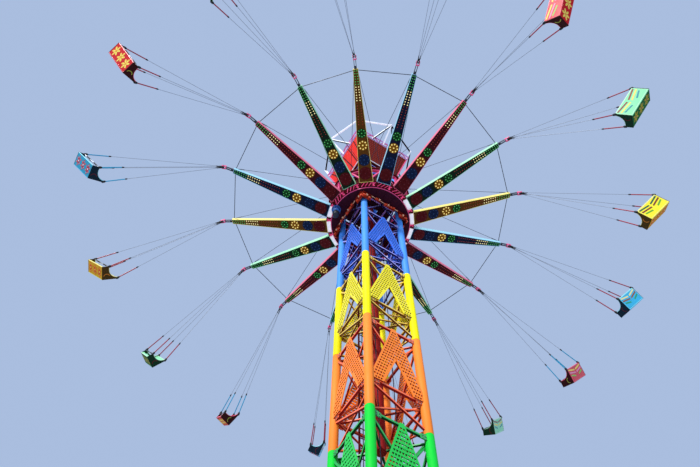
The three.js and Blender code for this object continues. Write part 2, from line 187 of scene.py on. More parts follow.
# Rotor
ARMS = 16
ARM_PHASE = -37.6
STEP = 360 / ARMS
RING_FLAT = 1.50
RING_INNER = 1.352
RING_BOTTOM = 23.2105
RING_TOP = 23.5405
RING_SHEET = 0.02
RING_RECESS = 0.05
RING_WEBS = (-0.27, -0.245, 0.245, 0.27)
ROOT_PLATE_HALF = 0.17
ROOT_WEB_AT = 0.19
CRIMSON_PLATES = (3, 4, 5, 6, 7)
ZIGZAG_INSIDE = 1.375
ZIGZAG_OUTSIDE = 1.49
MAST_OUTER = 1.47
MAST_TOP = 24.80
MAST_BOLT_AT = 1.463
ARM_ROOT_UNDERSIDE = 23.22
ARM_END_RADIUS = 5.04
ARM_END_UNDERSIDE = 24.457
ARM_ROOT_WIDTH = 0.48
ARM_ROOT_DEPTH = 0.17
ARM_END_WIDTH = 0.17
ARM_END_DEPTH = 0.14
ARM_SHEET = 0.012
ARM_TOP_SHEET = 0.03
LAMP_PANEL_RECESS = 0.02
LAMP_PANEL_DEPTH = 0.10
PIN_AT = 5.43
PIN_Z = 24.59
PIN_RADIUS = 0.0154
FORK_HALF = 0.058
FORK_CHEEK = [(-0.08, -0.05), (0.03, -0.05), (0.06, -0.025), (0.06, 0.025), (0.03, 0.05), (-0.08, 0.05)]
HOOP_RADIUS = 4.99
HOOP_TUBE = 0.012
HOOP_OVER_ARM = 0.016
LUG_HALF = 0.024
LUG_REACH = 0.08
LUG_TOP = 0.022
STAY_TUBE = 0.0075
STAY_OFFSET = 0.058
STAY_RING_Z = 24.70
STAY_RING_OUTER = 1.53
STAY_RING_HALF = 0.03
TURNBUCKLE = [(0.008, 0.09), (0.013, 0.11), (0.013, 0.30), (0.008, 0.32)]
STAY_SOCKET = [(0.012, 0.0), (0.012, 0.12), (0.008, 0.13)]

# Rosettes and lamps under the arms: rosettes by name, place along the arm, radius and lamp
ROSETTES = [
    ("wine", 1.78, 0.215, "wine"),
    ("navy", 2.20, 0.195, "blue"),
    ("gold", 2.66, 0.17, "gold"),
    ("leaf", 3.04, 0.155, "green"),
]
ROSETTE_FACE = 0.008
LAMP_RADIUS = {"gold": 0.026, "cream": 0.02, "green": 0.02, "rust": 0.016, "blue": 0.016, "wine": 0.016}
LAMP_ROW_START = 3.32
LAMP_ROW_ENDS = [("rust", 4.02), ("cream", 4.56), ("green", 5.03)]
LAMP_PITCH = 0.083

# Chairs
# Swing and trail of each chair in degrees, as the photograph shows them
CHAIR_SWINGS = [54.5, 58, 58.5, 58.5, 56.5, 54.5, 52.5, 50.5, 51.5, 55.5, 55, 54, 51.5, 50.5, 51.5, 58.5]
CHAIR_TRAILS = [4.5, 5, 4.5, 5.5, 7, 8.5, 10, 5.5, 3.5, 4, 7, 7.5, 9, 11, 9, 9.5]
HANG = 4.28
CHAIR_WIDTH = 1.31
CHAIR_BACK = 0.51
CHAIR_DEPTH = 0.44
CHAIR_WALL = 0.025
CHAIR_PAN = 0.04
RECLINE = 20
OUTWARD_TILT = 6
TWIST = -3
# Outline of a moulded place from the back's top to the front edge: back rest, hips and thigh roll
MOULDING = [(-0.193, -0.03), (-0.185, -0.10), (-0.172, -0.20), (-0.165, -0.29)]
MOULDING += [(-0.14, -0.37), (-0.08, -0.415), (0.0, -0.42)]
MOULDING += [(0.09, -0.405), (0.16, -0.40), (0.195, -0.43), (0.20, -0.468)]
MOULDING_BACK = -0.1955
MOULDING_FOOT = -0.4695
PAINT_COAT = 0.003
PAINT_SINK = 0.0005
# Stripes on a chair's back: height of the outer end, and where each half starts and ends
STRIPES = [(-0.085, 0.05, 0.575), (-0.185, 0.05, 0.575), (-0.285, 0.17, 0.53)]
STRIPE_FALL = 0.075
STRIPE_WIDTH = 0.052
# Painted border on the back: lower left and upper right corner of each strip
BORDERS = [(-0.61, -0.035, 0.61, -0.02), (-0.61, -CHAIR_BACK + 0.02, 0.61, -CHAIR_BACK + 0.035)]
BORDERS += [(-0.62, -0.475, -0.604, -0.035), (0.604, -0.475, 0.62, -0.035)]
FLOWERS_AT = (-0.41, 0.0, 0.41)
PETALS = 6
PETAL = (0.104, 0.072, 0.034)
PETAL_DOT_AT = 0.12
PETAL_DOT = [(0.014, 0), (0.014, 0.0025)]
HEART = [(0.03, 0), (0.03, 0.004)]
CURL_MIDDLE = (-0.12, -0.36)
CURL_RADII = (0.10, 0.076)
ROD_LENGTH = 0.745
ROD_RADIUS = 0.018
CABLE_RADIUS = 0.0058
CYAN_RODS = (2, 11, 15)
LINK_LENGTH = 0.13
LINK_HALF = 0.035
LINK_BORE = 0.017
LINK_CHEEKS = ((-0.035, -0.012), (0.012, 0.035))
# Half of the lap bar, its X counted outward from the end panel's inner face
LAP_BAR = [(0.004, 0.195, -0.31), (-0.05, 0.196, -0.30), (-0.33, 0.198, -0.285)]
LAP_BAR_TUBE = 0.0125
# Foam sleeves on the lap bar and the post under its middle
SLEEVES_AT = (-0.3, 0.3)
SLEEVE_HALF = 0.15
SLEEVE = [(0.016, 0), (0.021, 0.01), (0.021, 0.29), (0.016, 0.30)]
LAP_MIDDLE = (0.198, -0.287)
LAP_POST_FOOT = (0.17, -0.43)
LAP_POST_TUBE = 0.011
ARM_PAINTS = ["yellow", "cyan", "red", "green"]

# Light and camera, as fitted to the photograph
SUN_AZIMUTH = -58
SUN_HEIGHT = 34
SUN_STRENGTH = 4.2
SUN_WIDTH = 8
SUN_COLOUR = (1.0, 0.97, 0.92)
SKY_COLOUR = (0.50, 0.64, 0.92, 1)
SKY_STRENGTH = 0.8
FLOOR_RADIUS = 70
EYE_AZIMUTH = -34.65
EYE_DISTANCE = 9.731
EYE_HEIGHT = 1.6
CAMERA_HEADING = 55.35
CAMERA_YAW = -4.11
CAMERA_PITCH = 64.9
CAMERA_ROLL = 1.1
CAMERA_LENS = 35.3

UP = Vector((0, 0, 1))
SQUARE = ((-1, -1), (1, -1), (1, 1), (-1, 1))
CORNERS = ((1, 1), (-1, 1), (-1, -1), (1, -1))


def vec(x, y, z):
    return Vector((x, y, z))


def turn(degrees, axis="Z"):
    return Matrix.Rotation(math.radians(degrees), 4, axis)


def move(x, y, z):
    return Matrix.Translation((x, y, z))


def circle(radius, sides, phase=0.0):
    """Points of a level circle, anticlockwise."""
    angles = [math.radians(phase) + 2 * math.pi * k / sides for k in range(sides)]
    return [vec(radius * math.cos(a), radius * math.sin(a), 0) for a in angles]


def facing(across, over, out, at=(0, 0, 0)):
    """A place whose X, Y and Z point along three given directions."""
    place = Matrix((across, over, out)).transposed().to_4x4()
    place.translation = at
    return place


def along(a, b, up=UP):
    """A place at a whose Z runs to b and whose Y lies as near as can be to up."""
    axis = (b - a).normalized()
    side = up.cross(axis)
    if side.length < 1e-6:
        side = vec(1, 0, 0) if abs(axis.x) < 0.9 else vec(0, 1, 0)
        side -= axis * side.dot(axis)
    side.normalize()
    return facing(side, axis.cross(side), axis, a)


ONTO_X = facing((0, 1, 0), (0, 0, 1), (1, 0, 0))


def ring_places(count, phase=0.0):
    """Evenly turned places round the tower's axis."""
    return [turn(phase + k * 360 / count) for k in range(count)]


def mirrored(outline):
    """An outline with left and right exchanged, turning the same way."""
    return [(-x, y) for x, y in reversed(outline)]


def petal(middle, length, width, count):
    """The outline of a petal along X, given its middle, half length and half width."""
    angles = [2 * math.pi * k / count for k in range(count)]
    return [(middle + length * math.cos(a), width * math.sin(a)) for a in angles]


class Shape:
    """Points and faces of one piece, with a finish number for each face."""

    def __init__(self):
        self.points = []
        self.faces = []
        self.finishes = []

    def add(self, points, faces, finish=0):
        first = len(self.points)
        self.points += points
        self.faces += [tuple(first + i for i in face) for face in faces]
        self.finishes += [finish] * len(faces)
        return self

    def join(self, other, place=None, finish=None):
        """Takes in another shape, set in its place."""
        points = [place @ p for p in other.points] if place else list(other.points)
        first = len(self.points)
        self.points += points
        self.faces += [tuple(first + i for i in face) for face in other.faces]
        self.finishes += other.finishes if finish is None else [finish] * len(other.faces)
        return self

    def repeat(self, other, places):
        """Takes in another shape once at each place."""
        for place in places:
            self.join(other, place)
        return self

    def skin(self, rings, finish=0, loop=False):
        """Skin over rings of points that turn anticlockwise seen from the last ring's end."""
        count = len(rings[0])
        points = [p for ring in rings for p in ring]
        spans = len(rings) if loop else len(rings) - 1
        faces = []
        for k in range(spans):
            low, high = k * count, (k + 1) % len(rings) * count
            for i in range(count):
                j = (i + 1) % count
                faces.append((low + i, low + j, high + j, high + i))
        if not loop:
            faces.append(tuple(reversed(range(count))))
            faces.append(tuple(range(len(points) - count, len(points))))
        return self.add(points, faces, finish)

    def box(self, low, high, finish=0):
        ring = [(low[0], low[1]), (high[0], low[1]), (high[0], high[1]), (low[0], high[1])]
        return self.skin([[vec(x, y, z) for x, y in ring] for z in (low[2], high[2])], finish)

    def bar(self, a, b, width, height, up=UP, finish=0):
        place = along(a, b, up)
        ring = [vec(x * width / 2, y * height / 2, 0) for x, y in SQUARE]
        far = (b - a).length
        return self.skin([[place @ p for p in ring], [place @ (p + UP * far) for p in ring]], finish)

    def tube(self, a, b, radius, sides=10, finish=0):
        return self.turned(along(a, b), [(radius, 0), (radius, (b - a).length)], sides, finish)

    def turned(self, place, outline, sides=16, finish=0):
        """A round piece: outline gives radius and height, from its foot to its top."""
        rings = []
        for radius, height in outline:
            rings.append([place @ (p + UP * height) for p in circle(max(radius, 1e-4), sides)])
        return self.skin(rings, finish)

    def pipe(self, path, radius, sides=8, finish=0, loop=False):
        """A round pipe along a path of points."""
        rings = []
        count = len(path)
        for k, point in enumerate(path):
            before = path[k - 1] if k or loop else point
            after = path[(k + 1) % count] if k + 1 < count or loop else point
            place = along(before, after)
            place.translation = point
            rings.append([place @ p for p in circle(radius, sides)])
        return self.skin(rings, finish, loop=loop)

    def plate(self, outline, place, thickness, finish=0):
        """A flat plate: the outline turns anticlockwise in place's XY plane and grows along its Z."""
        low = [place @ vec(x, y, 0) for x, y in outline]
        high = [place @ vec(x, y, thickness) for x, y in outline]
        return self.skin([low, high], finish)

    def shade(self, number, dark, slope=-0.35):
        """Gives the faces of one finish that look down another, darker finish: painted shade on the
        undersides.
        """
        for k, face in enumerate(self.faces):
            if self.finishes[k] == number:
                a, b, c = (self.points[i] for i in face[:3])
                if (b - a).cross(c - b).normalized().z < slope:
                    self.finishes[k] = dark
        return self

    def band(self, outer, inner, low, high, finish=0):
        """An upright ring between two outlines of as many points."""
        rings = []
        for outline, z in ((outer, low), (outer, high), (inner, high), (inner, low)):
            rings.append([p + UP * z for p in outline])
        return self.skin(rings, finish, loop=True)


def mesh_of(shape, name, paints, sharp=32):
    """A mesh of the shape, smooth across edges of less than so many degrees."""
    mesh = bpy.data.meshes.new(name)
    mesh.from_pydata(shape.points, [], shape.faces)
    for finish in paints:
        mesh.materials.append(finish)
    mesh.polygons.foreach_set("material_index", shape.finishes)
    mesh.polygons.foreach_set("use_smooth", [True] * len(mesh.polygons))
    mesh.set_sharp_from_angle(angle=math.radians(sharp))
    return mesh


def show(mesh, name):
    thing = bpy.data.objects.new(name, mesh)
    bpy.context.scene.collection.objects.link(thing)
    return thing


def soften(thing, width, segments):
    """Rounds a piece's hard edges."""
    bevel = thing.modifiers.new("rounded edges", "BEVEL")
    bevel.width = width
    bevel.segments = segments
    bevel.limit_method = "ANGLE"
    bevel.angle_limit = math.radians(40)
    bevel.harden_normals = True


def mount(thing, body, stands_for=()):
    """Sets a piece on its body and hides the frame's nodes that it replaces."""
    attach(thing, body)
    if stands_for:
        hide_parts(*stands_for)


def fit(shape, name, body, paints, stands_for=(), rounding=0.0, segments=1, sharp=32):
    """Makes a piece from a shape, rounds its edges and mounts it."""
    thing = show(mesh_of(shape, name, paints, sharp), name)
    if rounding:
        soften(thing, rounding, segments)
    mount(thing, body, stands_for)


# Finishes

PURE_WHITE = (1, 1, 1, 1)
PURE_BLACK = (0, 0, 0, 1)


def linear(hexcode):
    """A colour as the shader takes it, from its screen code."""
    parts = [int(hexcode[k : k + 2], 16) / 255 for k in (1, 3, 5)]
    return tuple(p / 12.92 if p <= 0.04045 else ((p + 0.055) / 1.055) ** 2.4 for p in parts) + (1,)


def shaded(colour, factor):
    return tuple(min(1, c * factor) for c in colour[:3]) + (1,)


class Finish:
    """A material being wired up."""

    def __init__(self, name):
        self.material = bpy.data.materials.new(name)
        self.material.use_nodes = True
        self.nodes = self.material.node_tree.nodes
        self.links = self.material.node_tree.links
        self.shader = self.nodes["Principled BSDF"]
        self.where = self.node("ShaderNodeTexCoord").outputs["Object"]

    def node(self, kind, **values):
        made = self.nodes.new(kind)
        for key, value in values.items():
            setattr(made, key, value)
        return made

    def link(self, output, target):
        self.links.new(output, target)

    def noise(self, scale, detail=3.0, stretch=(1, 1, 1), rough=0.55):
        place = self.node("ShaderNodeMapping")
        place.inputs["Scale"].default_value = stretch
        self.link(self.where, place.inputs["Vector"])
        noise = self.node("ShaderNodeTexNoise")
        noise.inputs["Scale"].default_value = scale
        noise.inputs["Detail"].default_value = detail
        noise.inputs["Roughness"].default_value = rough
        self.link(place.outputs["Vector"], noise.inputs["Vector"])
        return noise.outputs["Fac"]

    def ramp(self, source, stops):
        ramp = self.node("ShaderNodeValToRGB")
        elements = ramp.color_ramp.elements
        while len(elements) < len(stops):
            elements.new(0.5)
        for element, (at, colour) in zip(elements, stops):
            element.position = at
            element.color = colour
        self.link(source, ramp.inputs["Fac"])
        return ramp.outputs["Color"]

    def blend(self, source, low, high, start=0.3, end=0.7):
        """A ramp from one colour to another."""
        return self.ramp(source, [(start, low), (end, high)])

    def mix(self, share, first, second, blend="MIX"):
        mix = self.node("ShaderNodeMix", data_type="RGBA", blend_type=blend)
        for socket, value in ((mix.inputs[0], share), (mix.inputs[6], first), (mix.inputs[7], second)):
            if isinstance(value, bpy.types.NodeSocket):
                self.link(value, socket)
            else:
                socket.default_value = value
        return mix.outputs[2]

    def spread(self, source, low, high, start=0.3, end=0.7):
        """Maps a noise between two values."""
        spread = self.node("ShaderNodeMapRange")
        for name, value in (("From Min", start), ("From Max", end), ("To Min", low), ("To Max", high)):
            spread.inputs[name].default_value = value
        self.link(source, spread.inputs["Value"])
        return spread.outputs["Result"]

    def bump(self, source, strength, distance):
        bump = self.node("ShaderNodeBump")
        bump.inputs["Strength"].default_value = strength
        bump.inputs["Distance"].default_value = distance
        self.link(source, bump.inputs["Height"])
        self.link(bump.outputs["Normal"], self.shader.inputs["Normal"])

    def feed(self, output, *inputs):
        """Leads one output into the shader's named inputs."""
        for name in inputs:
            self.link(output, self.shader.inputs[name])

    def set(self, **values):
        for name, value in values.items():
            self.shader.inputs[name.replace("_", " ")].default_value = value
        return self


def paint(name, code, wear=0.35, gloss=0.32, chips=0.03, coat=0.2):
    """Brushed-on paint: it fades in clouds, holds dirt in streaks and has a few chips."""
    made = Finish(name)
    colour = linear(code)
    clouds = made.noise(0.9, 5.0)
    faded = made.blend(clouds, shaded(colour, 1 - 0.22 * wear), shaded(colour, 1 + 0.12 * wear))
    streaks = made.noise(3.5, 6.0, stretch=(3, 3, 0.35))
    dirt = made.blend(streaks, PURE_WHITE, shaded(PURE_WHITE, 1 - 0.3 * wear), 0.35, 0.75)
    dirty = made.mix(1.0, faded, dirt, "MULTIPLY")
    speck = made.noise(24.0, 8.0, rough=0.7)
    bare = made.blend(speck, PURE_BLACK, PURE_WHITE, 0.73 - chips, 0.76 - chips)
    made.feed(made.mix(bare, dirty, shaded(colour, 0.45)), "Base Color")
    made.feed(made.spread(streaks, gloss, gloss + 0.2), "Roughness")
    made.bump(made.noise(60.0, 4.0), 0.12, 0.002)
    made.set(Coat_Weight=coat, Coat_Roughness=0.2, Specular_IOR_Level=0.4 if coat else 0.15)
    return made.material


def dull(name, code, wear=0.4):
    """Flat paint without a sheen, as on the undersides."""
    return paint(name, code, wear, gloss=0.62, coat=0.0)


def glowing(name, low, high, glow):
    """Tube paint between two tones with a faint glow of its own, painted sunlight so that it reads bright
    from below.
    """
    made = Finish(name)
    made.feed(made.blend(made.noise(5.0, 4.0), linear(low), linear(high)), "Base Color", "Emission Color")
    made.bump(made.noise(60.0, 4.0), 0.12, 0.002)
    made.set(Emission_Strength=glow, Roughness=0.35)
    return made.material


def steel(name, code, rough=0.42):
    """Bare or zinc-coated steel with a dull, blotched surface."""
    made = Finish(name)
    colour = linear(code)
    blotches = made.noise(9.0, 6.0)
    made.feed(made.blend(blotches, shaded(colour, 0.7), shaded(colour, 1.15)), "Base Color")
    made.feed(made.spread(blotches, rough - 0.1, rough + 0.15), "Roughness")
    made.bump(made.noise(140.0, 2.0), 0.1, 0.001)
    made.set(Metallic=0.85)
    return made.material


def rope(name, code, pitch=260.0):
    """Laid wire rope: fine slanting strands round a thin line."""
    made = Finish(name)
    colour = linear(code)
    wave = made.node("ShaderNodeTexWave", wave_type="BANDS", bands_direction="DIAGONAL")
    wave.inputs["Scale"].default_value = pitch
    wave.inputs["Distortion"].default_value = 0.5
    made.link(made.where, wave.inputs["Vector"])
    strands = made.blend(wave.outputs["Fac"], shaded(colour, 0.6), shaded(colour, 1.2), 0.2)
    made.feed(strands, "Base Color")
    made.bump(wave.outputs["Fac"], 0.4, 0.001)
    made.set(Metallic=0.7, Roughness=0.45)
    return made.material


def cast_concrete():
    """Grey concrete in clouds of three tones, with open pores."""
    made = Finish("cast concrete")
    broad = made.noise(1.3, 7.0)
    tone = made.ramp(broad, [(0.3, linear("#7f7d78")), (0.55, linear("#a19f98")), (0.8, linear("#b5b2aa"))])
    pores = made.noise(45.0, 9.0, rough=0.75)
    spots = made.blend(pores, (0.55, 0.54, 0.52, 1), PURE_WHITE, 0.3, 0.42)
    made.feed(made.mix(1.0, tone, spots, "MULTIPLY"), "Base Color")
    made.bump(pores, 0.35, 0.004)
    made.set(Roughness=0.88)
    return made.material


def lamp_glass(name, code, glow):
    """Small coloured lamp cap with a faint light inside."""
    made = Finish(name)
    colour = linear(code)
    ripple = made.noise(90.0, 2.0)
    made.feed(made.blend(ripple, shaded(colour, 0.85), colour), "Base Color", "Emission Color")
    made.bump(ripple, 0.15, 0.001)
    made.set(Emission_Strength=glow, Roughness=0.15, Coat_Weight=0.6, Coat_Roughness=0.05)
    return made.material


def rubber(name, code):
    """Dark rubber or foam with a fine grain."""
    made = Finish(name)
    colour = linear(code)
    grain = made.noise(180.0, 5.0)
    made.feed(made.blend(made.noise(6.0, 4.0), shaded(colour, 0.75), shaded(colour, 1.3)), "Base Color")
    made.bump(grain, 0.25, 0.001)
    made.set(Roughness=0.7)
    return made.material


def palette(make, codes, **look):
    """One finish for each key, all of one look; codes gives each key its finish's name and colour."""
    return {key: make(name, code, **look) for key, (name, code) in codes.items()}


LEG_PAINT = palette(
    paint,
    {
        "blue": ("light blue leg paint", "#4c98f2"),
        "yellow": ("yellow leg paint", "#fff000"),
        "orange": ("orange leg paint", "#ff8a30"),
        "green": ("green leg paint", "#06c838"),
    },
    wear=0.15,
    gloss=0.5,
    coat=0.0,
)
# Bracing in two tones of each band's colour: lighter as painted sunlight on faces that look up or sideways,
# darker as painted shade on faces that look down.
BAR_SUNLIT_TONE = palette(
    paint,
    {
        "blue": ("pale blue bracing tone with painted sunlight", "#a8a8ff"),
        "yellow": ("amber bracing tone with painted sunlight", "#ffd254"),
        "orange": ("orange red bracing tone with painted sunlight", "#ff7040"),
        "green": ("green bracing tone with painted sunlight", "#20a84c"),
    },
)
BAR_PAINTED_SHADE = palette(
    dull,
    {
        "blue": ("navy painted shade on undersides", "#0c0650"),
        "yellow": ("brown ochre painted shade on undersides", "#6a3e04"),
        "orange": ("deep red painted shade on undersides", "#900c08"),
        "green": ("forest green painted shade on undersides", "#023a14"),
    },
)
STRIP_PAINT = {
    "blue": paint("blue strip paint", "#3c78f2", wear=0.2),
    "yellow": paint("yellow strip paint", "#fff000", wear=0.2),
    "orange": paint("orange strip paint", "#ff8410", wear=0.2, coat=0.05),
    "green": paint("green strip paint", "#0cc440", wear=0.2),
}
# Arm colours lightened towards the sunlit tone of the side plates: the arms' own colours with painted
# sunlight.
ARM_COLOUR_AND_SUNLIGHT = palette(
    paint,
    {
        "yellow": ("yellow arm tone with painted sunlight", "#ffe878"),
        "cyan": ("pale cyan arm tone with painted sunlight", "#a0dcf0"),
        "red": ("crimson arm tone with painted sunlight", "#f06a86"),
        "green": ("pale green arm tone with painted sunlight", "#a8f0bc"),
    },
)
# Lamp panels under the arms: their own dark paint, darkened further as painted shade.
ARM_UNDER_COLOUR_AND_SHADE = palette(
    dull,
    {
        "yellow": ("ochre arm underside with painted shade", "#5c3400"),
        "cyan": ("navy arm underside with painted shade", "#020e2c"),
        "red": ("dark crimson arm underside with painted shade", "#3c000c"),
        "green": ("dark green arm underside with painted shade", "#021e0c"),
    },
)
ROSETTE_PAINT = palette(
    dull,
    {
        "wine": ("wine rosette paint", "#520006"),
        "navy": ("navy rosette paint", "#021a3e"),
        "gold": ("gold rosette paint", "#8a5600"),
        "leaf": ("leaf green rosette paint", "#024010"),
    },
)
LAMPS = {
    "green": lamp_glass("green lamp caps", "#50c060", 0.25),
    "cream": lamp_glass("cream lamp caps", "#f4e6a0", 0.7),
    "rust": lamp_glass("rust red lamp caps", "#a8361c", 0.2),
    "gold": lamp_glass("gold lamp caps", "#fbe07a", 0.55),
    "blue": lamp_glass("blue lamp caps", "#1c4a80", 0.15),
    "wine": lamp_glass("wine lamp caps", "#6a0c14", 0.1),
}
MAROON = dull("maroon deck paint", "#36031c")
LIFT_RED = dull("dark red lift paint", "#8e1010")
DARK_RED = dull("dark red frame paint", "#5e0a10")
PINK = paint("pink frame paint", "#ee4a86")
LILAC = paint("lilac rail paint", "#dca0f2")
WHITE = paint("white frame paint", "#fbfbff", wear=0.2)
# Black painted shade for white tube undersides, and glowing tube paints as painted sunlight.
WHITE_TUBE_PAINTED_SHADE = dull("black painted shade under white tubes", "#0a0a12")
WHITE_SUNLIGHT_GLOW = glowing("white tube glow as painted sunlight", "#e4e4f0", "#ffffff", 0.35)
PINK_SUNLIGHT_GLOW = glowing("pink tube glow as painted sunlight", "#d42868", "#f8588c", 0.4)
PANEL_RED = paint("orange red panel paint", "#e62406", wear=0.2, coat=0.0)
# The grille faces' brown is darker than the red panels: grille paint with painted shade.
PANEL_BROWN_AND_SHADE = dull("brown red grille tone with painted shade", "#8c2412")
PANEL_SEAM = dull("brown seam paint", "#4e080c")
GUIDE_RED = dull("rust red guide paint", "#7c1408", wear=0.6)
GUIDE_ORANGE_AND_HIGHLIGHTS = paint("orange guide tone with painted highlights", "#e8481a", wear=0.4)
GUIDE_CREAM_AND_HIGHLIGHTS = paint("cream roller tone with painted highlights", "#f8c8a0", wear=0.4)
MOTOR_BLUE = paint("blue motor paint", "#2a6ab8", wear=0.4, coat=0.5)
DARK_STEEL = steel("dark steel", "#3a3e46")
ZINC = steel("zinc-coated steel", "#a4a8ac", 0.38)
WIRE = rope("wire rope", "#8f959e")
STAY_WIRE = rope("dark stay rope", "#343a4c")
BLACK = rubber("black rubber", "#121214")
FOAM = rubber("black foam sleeve", "#1b1b1f")
ROD_RED = paint("red rod paint", "#a81c38", wear=0.4)
ROD_CYAN = paint("cyan rod paint", "#2aa6d0", wear=0.4)


# Geometry trees


class Tree:
    """A geometry tree being wired up, with named inputs for its sizes."""

    def __init__(self, name, inputs):
        self.tree = bpy.data.node_groups.new(name, "GeometryNodeTree")
        face = self.tree.interface
        self.keys = {}
        kinds = {"carrier": "NodeSocketGeometry", "finish": "NodeSocketMaterial"}
        for label, kind, value in [("Carrier", "carrier", None), *inputs]:
            socket = face.new_socket(label, in_out="INPUT", socket_type=kinds.get(kind, kind))
            if value is not None:
                socket.default_value = value
            self.keys[label] = socket.identifier
        face.new_socket("Result", in_out="OUTPUT", socket_type="NodeSocketGeometry")
        self.given = self.tree.nodes.new("NodeGroupInput").outputs
        self.result = self.tree.nodes.new("NodeGroupOutput").inputs["Result"]

    def node(self, kind, links=(), **values):
        made = self.tree.nodes.new(kind)
        for key, value in values.items():
            setattr(made, key, value)
        for key, source in dict(links).items():
            if isinstance(source, bpy.types.NodeSocket):
                self.tree.links.new(source, made.inputs[key])
            else:
                made.inputs[key].default_value = source
        return made

    def calculate(self, operation, first, second):
        made = self.node("ShaderNodeMath", operation=operation)
        for socket, value in zip(made.inputs, (first, second)):
            if isinstance(value, bpy.types.NodeSocket):
                self.tree.links.new(value, socket)
            else:
                socket.default_value = value
        return made.outputs[0]

    def finish(self, geometry, material):
        """Ends the tree: instances made real, then the finish."""
        real = self.node("GeometryNodeRealizeInstances", {"Geometry": geometry})
        painted = self.node("GeometryNodeSetMaterial", {"Geometry": real.outputs[0], "Material": material})
        self.tree.links.new(painted.outputs[0], self.result)

    def grow(self, carrier, **sizes):
        """Runs the tree on a carrier mesh and returns the plain mesh that it makes."""
        holder = show(carrier, "carrier")
        modifier = holder.modifiers.new("tree", "NODES")
        modifier.node_group = self.tree
        for label, value in sizes.items():
            modifier[self.keys[label.replace("_", " ").capitalize()]] = value
        sight = bpy.context.evaluated_depsgraph_get()
        grown = bpy.data.meshes.new_from_object(holder.evaluated_get(sight), depsgraph=sight)
        holder.modifiers.remove(modifier)
        bpy.data.objects.remove(holder)
        return grown


def perforated_sheet_tree():
    """Cuts a slot into each open face of a flat carrier and gives the sheet its thickness."""
    tree = Tree(
        "perforated sheet",
        [
            ("Open share", "NodeSocketFloat", SLOT_SHARE),
            ("Slot height", "NodeSocketFloat", SLOT_HEIGHT),
            ("Thickness", "NodeSocketFloat", STRIP_THICKNESS),
            ("Paint", "finish", None),
        ],
    )
    given = tree.given
    marked = tree.node("GeometryNodeInputNamedAttribute", {"Name": "open"}, data_type="BOOLEAN")
    inset = tree.node(
        "GeometryNodeExtrudeMesh",
        {"Mesh": given["Carrier"], "Selection": marked.outputs[0], "Offset Scale": 0.0, "Individual": True},
    )
    shrunk = tree.node(
        "GeometryNodeScaleElements",
        {"Geometry": inset.outputs["Mesh"], "Selection": inset.outputs["Top"], "Scale": given["Open share"]},
    )
    lowered = tree.node(
        "GeometryNodeScaleElements",
        {
            "Geometry": shrunk.outputs[0],
            "Selection": inset.outputs["Top"],
            "Scale": given["Slot height"],
            "Axis": (0, 0, 1),
        },
        scale_mode="SINGLE_AXIS",
    )
    holed = tree.node(
        "GeometryNodeDeleteGeometry",
        {"Geometry": lowered.outputs[0], "Selection": inset.outputs["Top"]},
        domain="FACE",
    )
    welded = tree.node("GeometryNodeMergeByDistance", {"Geometry": holed.outputs[0], "Distance": 0.0005})
    thick = tree.node(
        "GeometryNodeExtrudeMesh",
        {"Mesh": welded.outputs[0], "Offset Scale": given["Thickness"], "Individual": False},
    )
    back = tree.node("GeometryNodeFlipFaces", {"Mesh": welded.outputs[0]})
    both = tree.node("GeometryNodeJoinGeometry")
    tree.tree.links.new(thick.outputs["Mesh"], both.inputs[0])
    tree.tree.links.new(back.outputs[0], both.inputs[0])
    closed = tree.node("GeometryNodeMergeByDistance", {"Geometry": both.outputs[0], "Distance": 0.0002})
    tree.finish(closed.outputs[0], given["Paint"])
    return tree


def fittings_tree(name, shape):
    """Stands one small fitting on each face of the carrier, along the face's normal."""
    tree = Tree(
        name,
        [
            ("Radius", "NodeSocketFloat", 0.02),
            ("Height", "NodeSocketFloat", 0.02),
            ("Sides", "NodeSocketInt", 8),
            ("Paint", "finish", None),
        ],
    )
    given = tree.given
    if shape == "dome":
        ball = tree.node(
            "GeometryNodeMeshUVSphere", {"Segments": given["Sides"], "Rings": 6, "Radius": given["Radius"]}
        )
        spot = tree.node("GeometryNodeInputPosition").outputs[0]
        low = tree.node("ShaderNodeSeparateXYZ", {"Vector": spot})
        under = tree.node("FunctionNodeCompare", data_type="FLOAT", operation="LESS_THAN")
        tree.tree.links.new(low.outputs["Z"], under.inputs[0])
        under.inputs[1].default_value = -0.001
        unit = tree.node(
            "GeometryNodeDeleteGeometry", {"Geometry": ball.outputs[0], "Selection": under.outputs[0]}
        ).outputs[0]
    else:
        unit = tree.node(
            "GeometryNodeMeshCone",
            {
                "Vertices": given["Sides"],
                "Radius Top": tree.calculate("MULTIPLY", given["Radius"], 0.86),
                "Radius Bottom": given["Radius"],
                "Depth": given["Height"],
            },
        ).outputs["Mesh"]
    centres = tree.node("GeometryNodeMeshToPoints", {"Mesh": given["Carrier"]}, mode="FACES")
    normal = tree.node("GeometryNodeInputNormal")
    held = tree.node("GeometryNodeCaptureAttribute", domain="FACE")
    held.capture_items.new("VECTOR", "outward")
    tree.tree.links.new(given["Carrier"], held.inputs[0])
    tree.tree.links.new(normal.outputs[0], held.inputs[1])
    tree.tree.links.new(held.outputs[0], centres.inputs["Mesh"])
    turned = tree.node("FunctionNodeAlignRotationToVector", {"Vector": held.outputs[1]}, axis="Z")
    stood = tree.node(
        "GeometryNodeInstanceOnPoints",
        {"Points": centres.outputs[0], "Instance": unit, "Rotation": turned.outputs[0]},
    )
    tree.finish(stood.outputs[0], given["Paint"])
    return tree


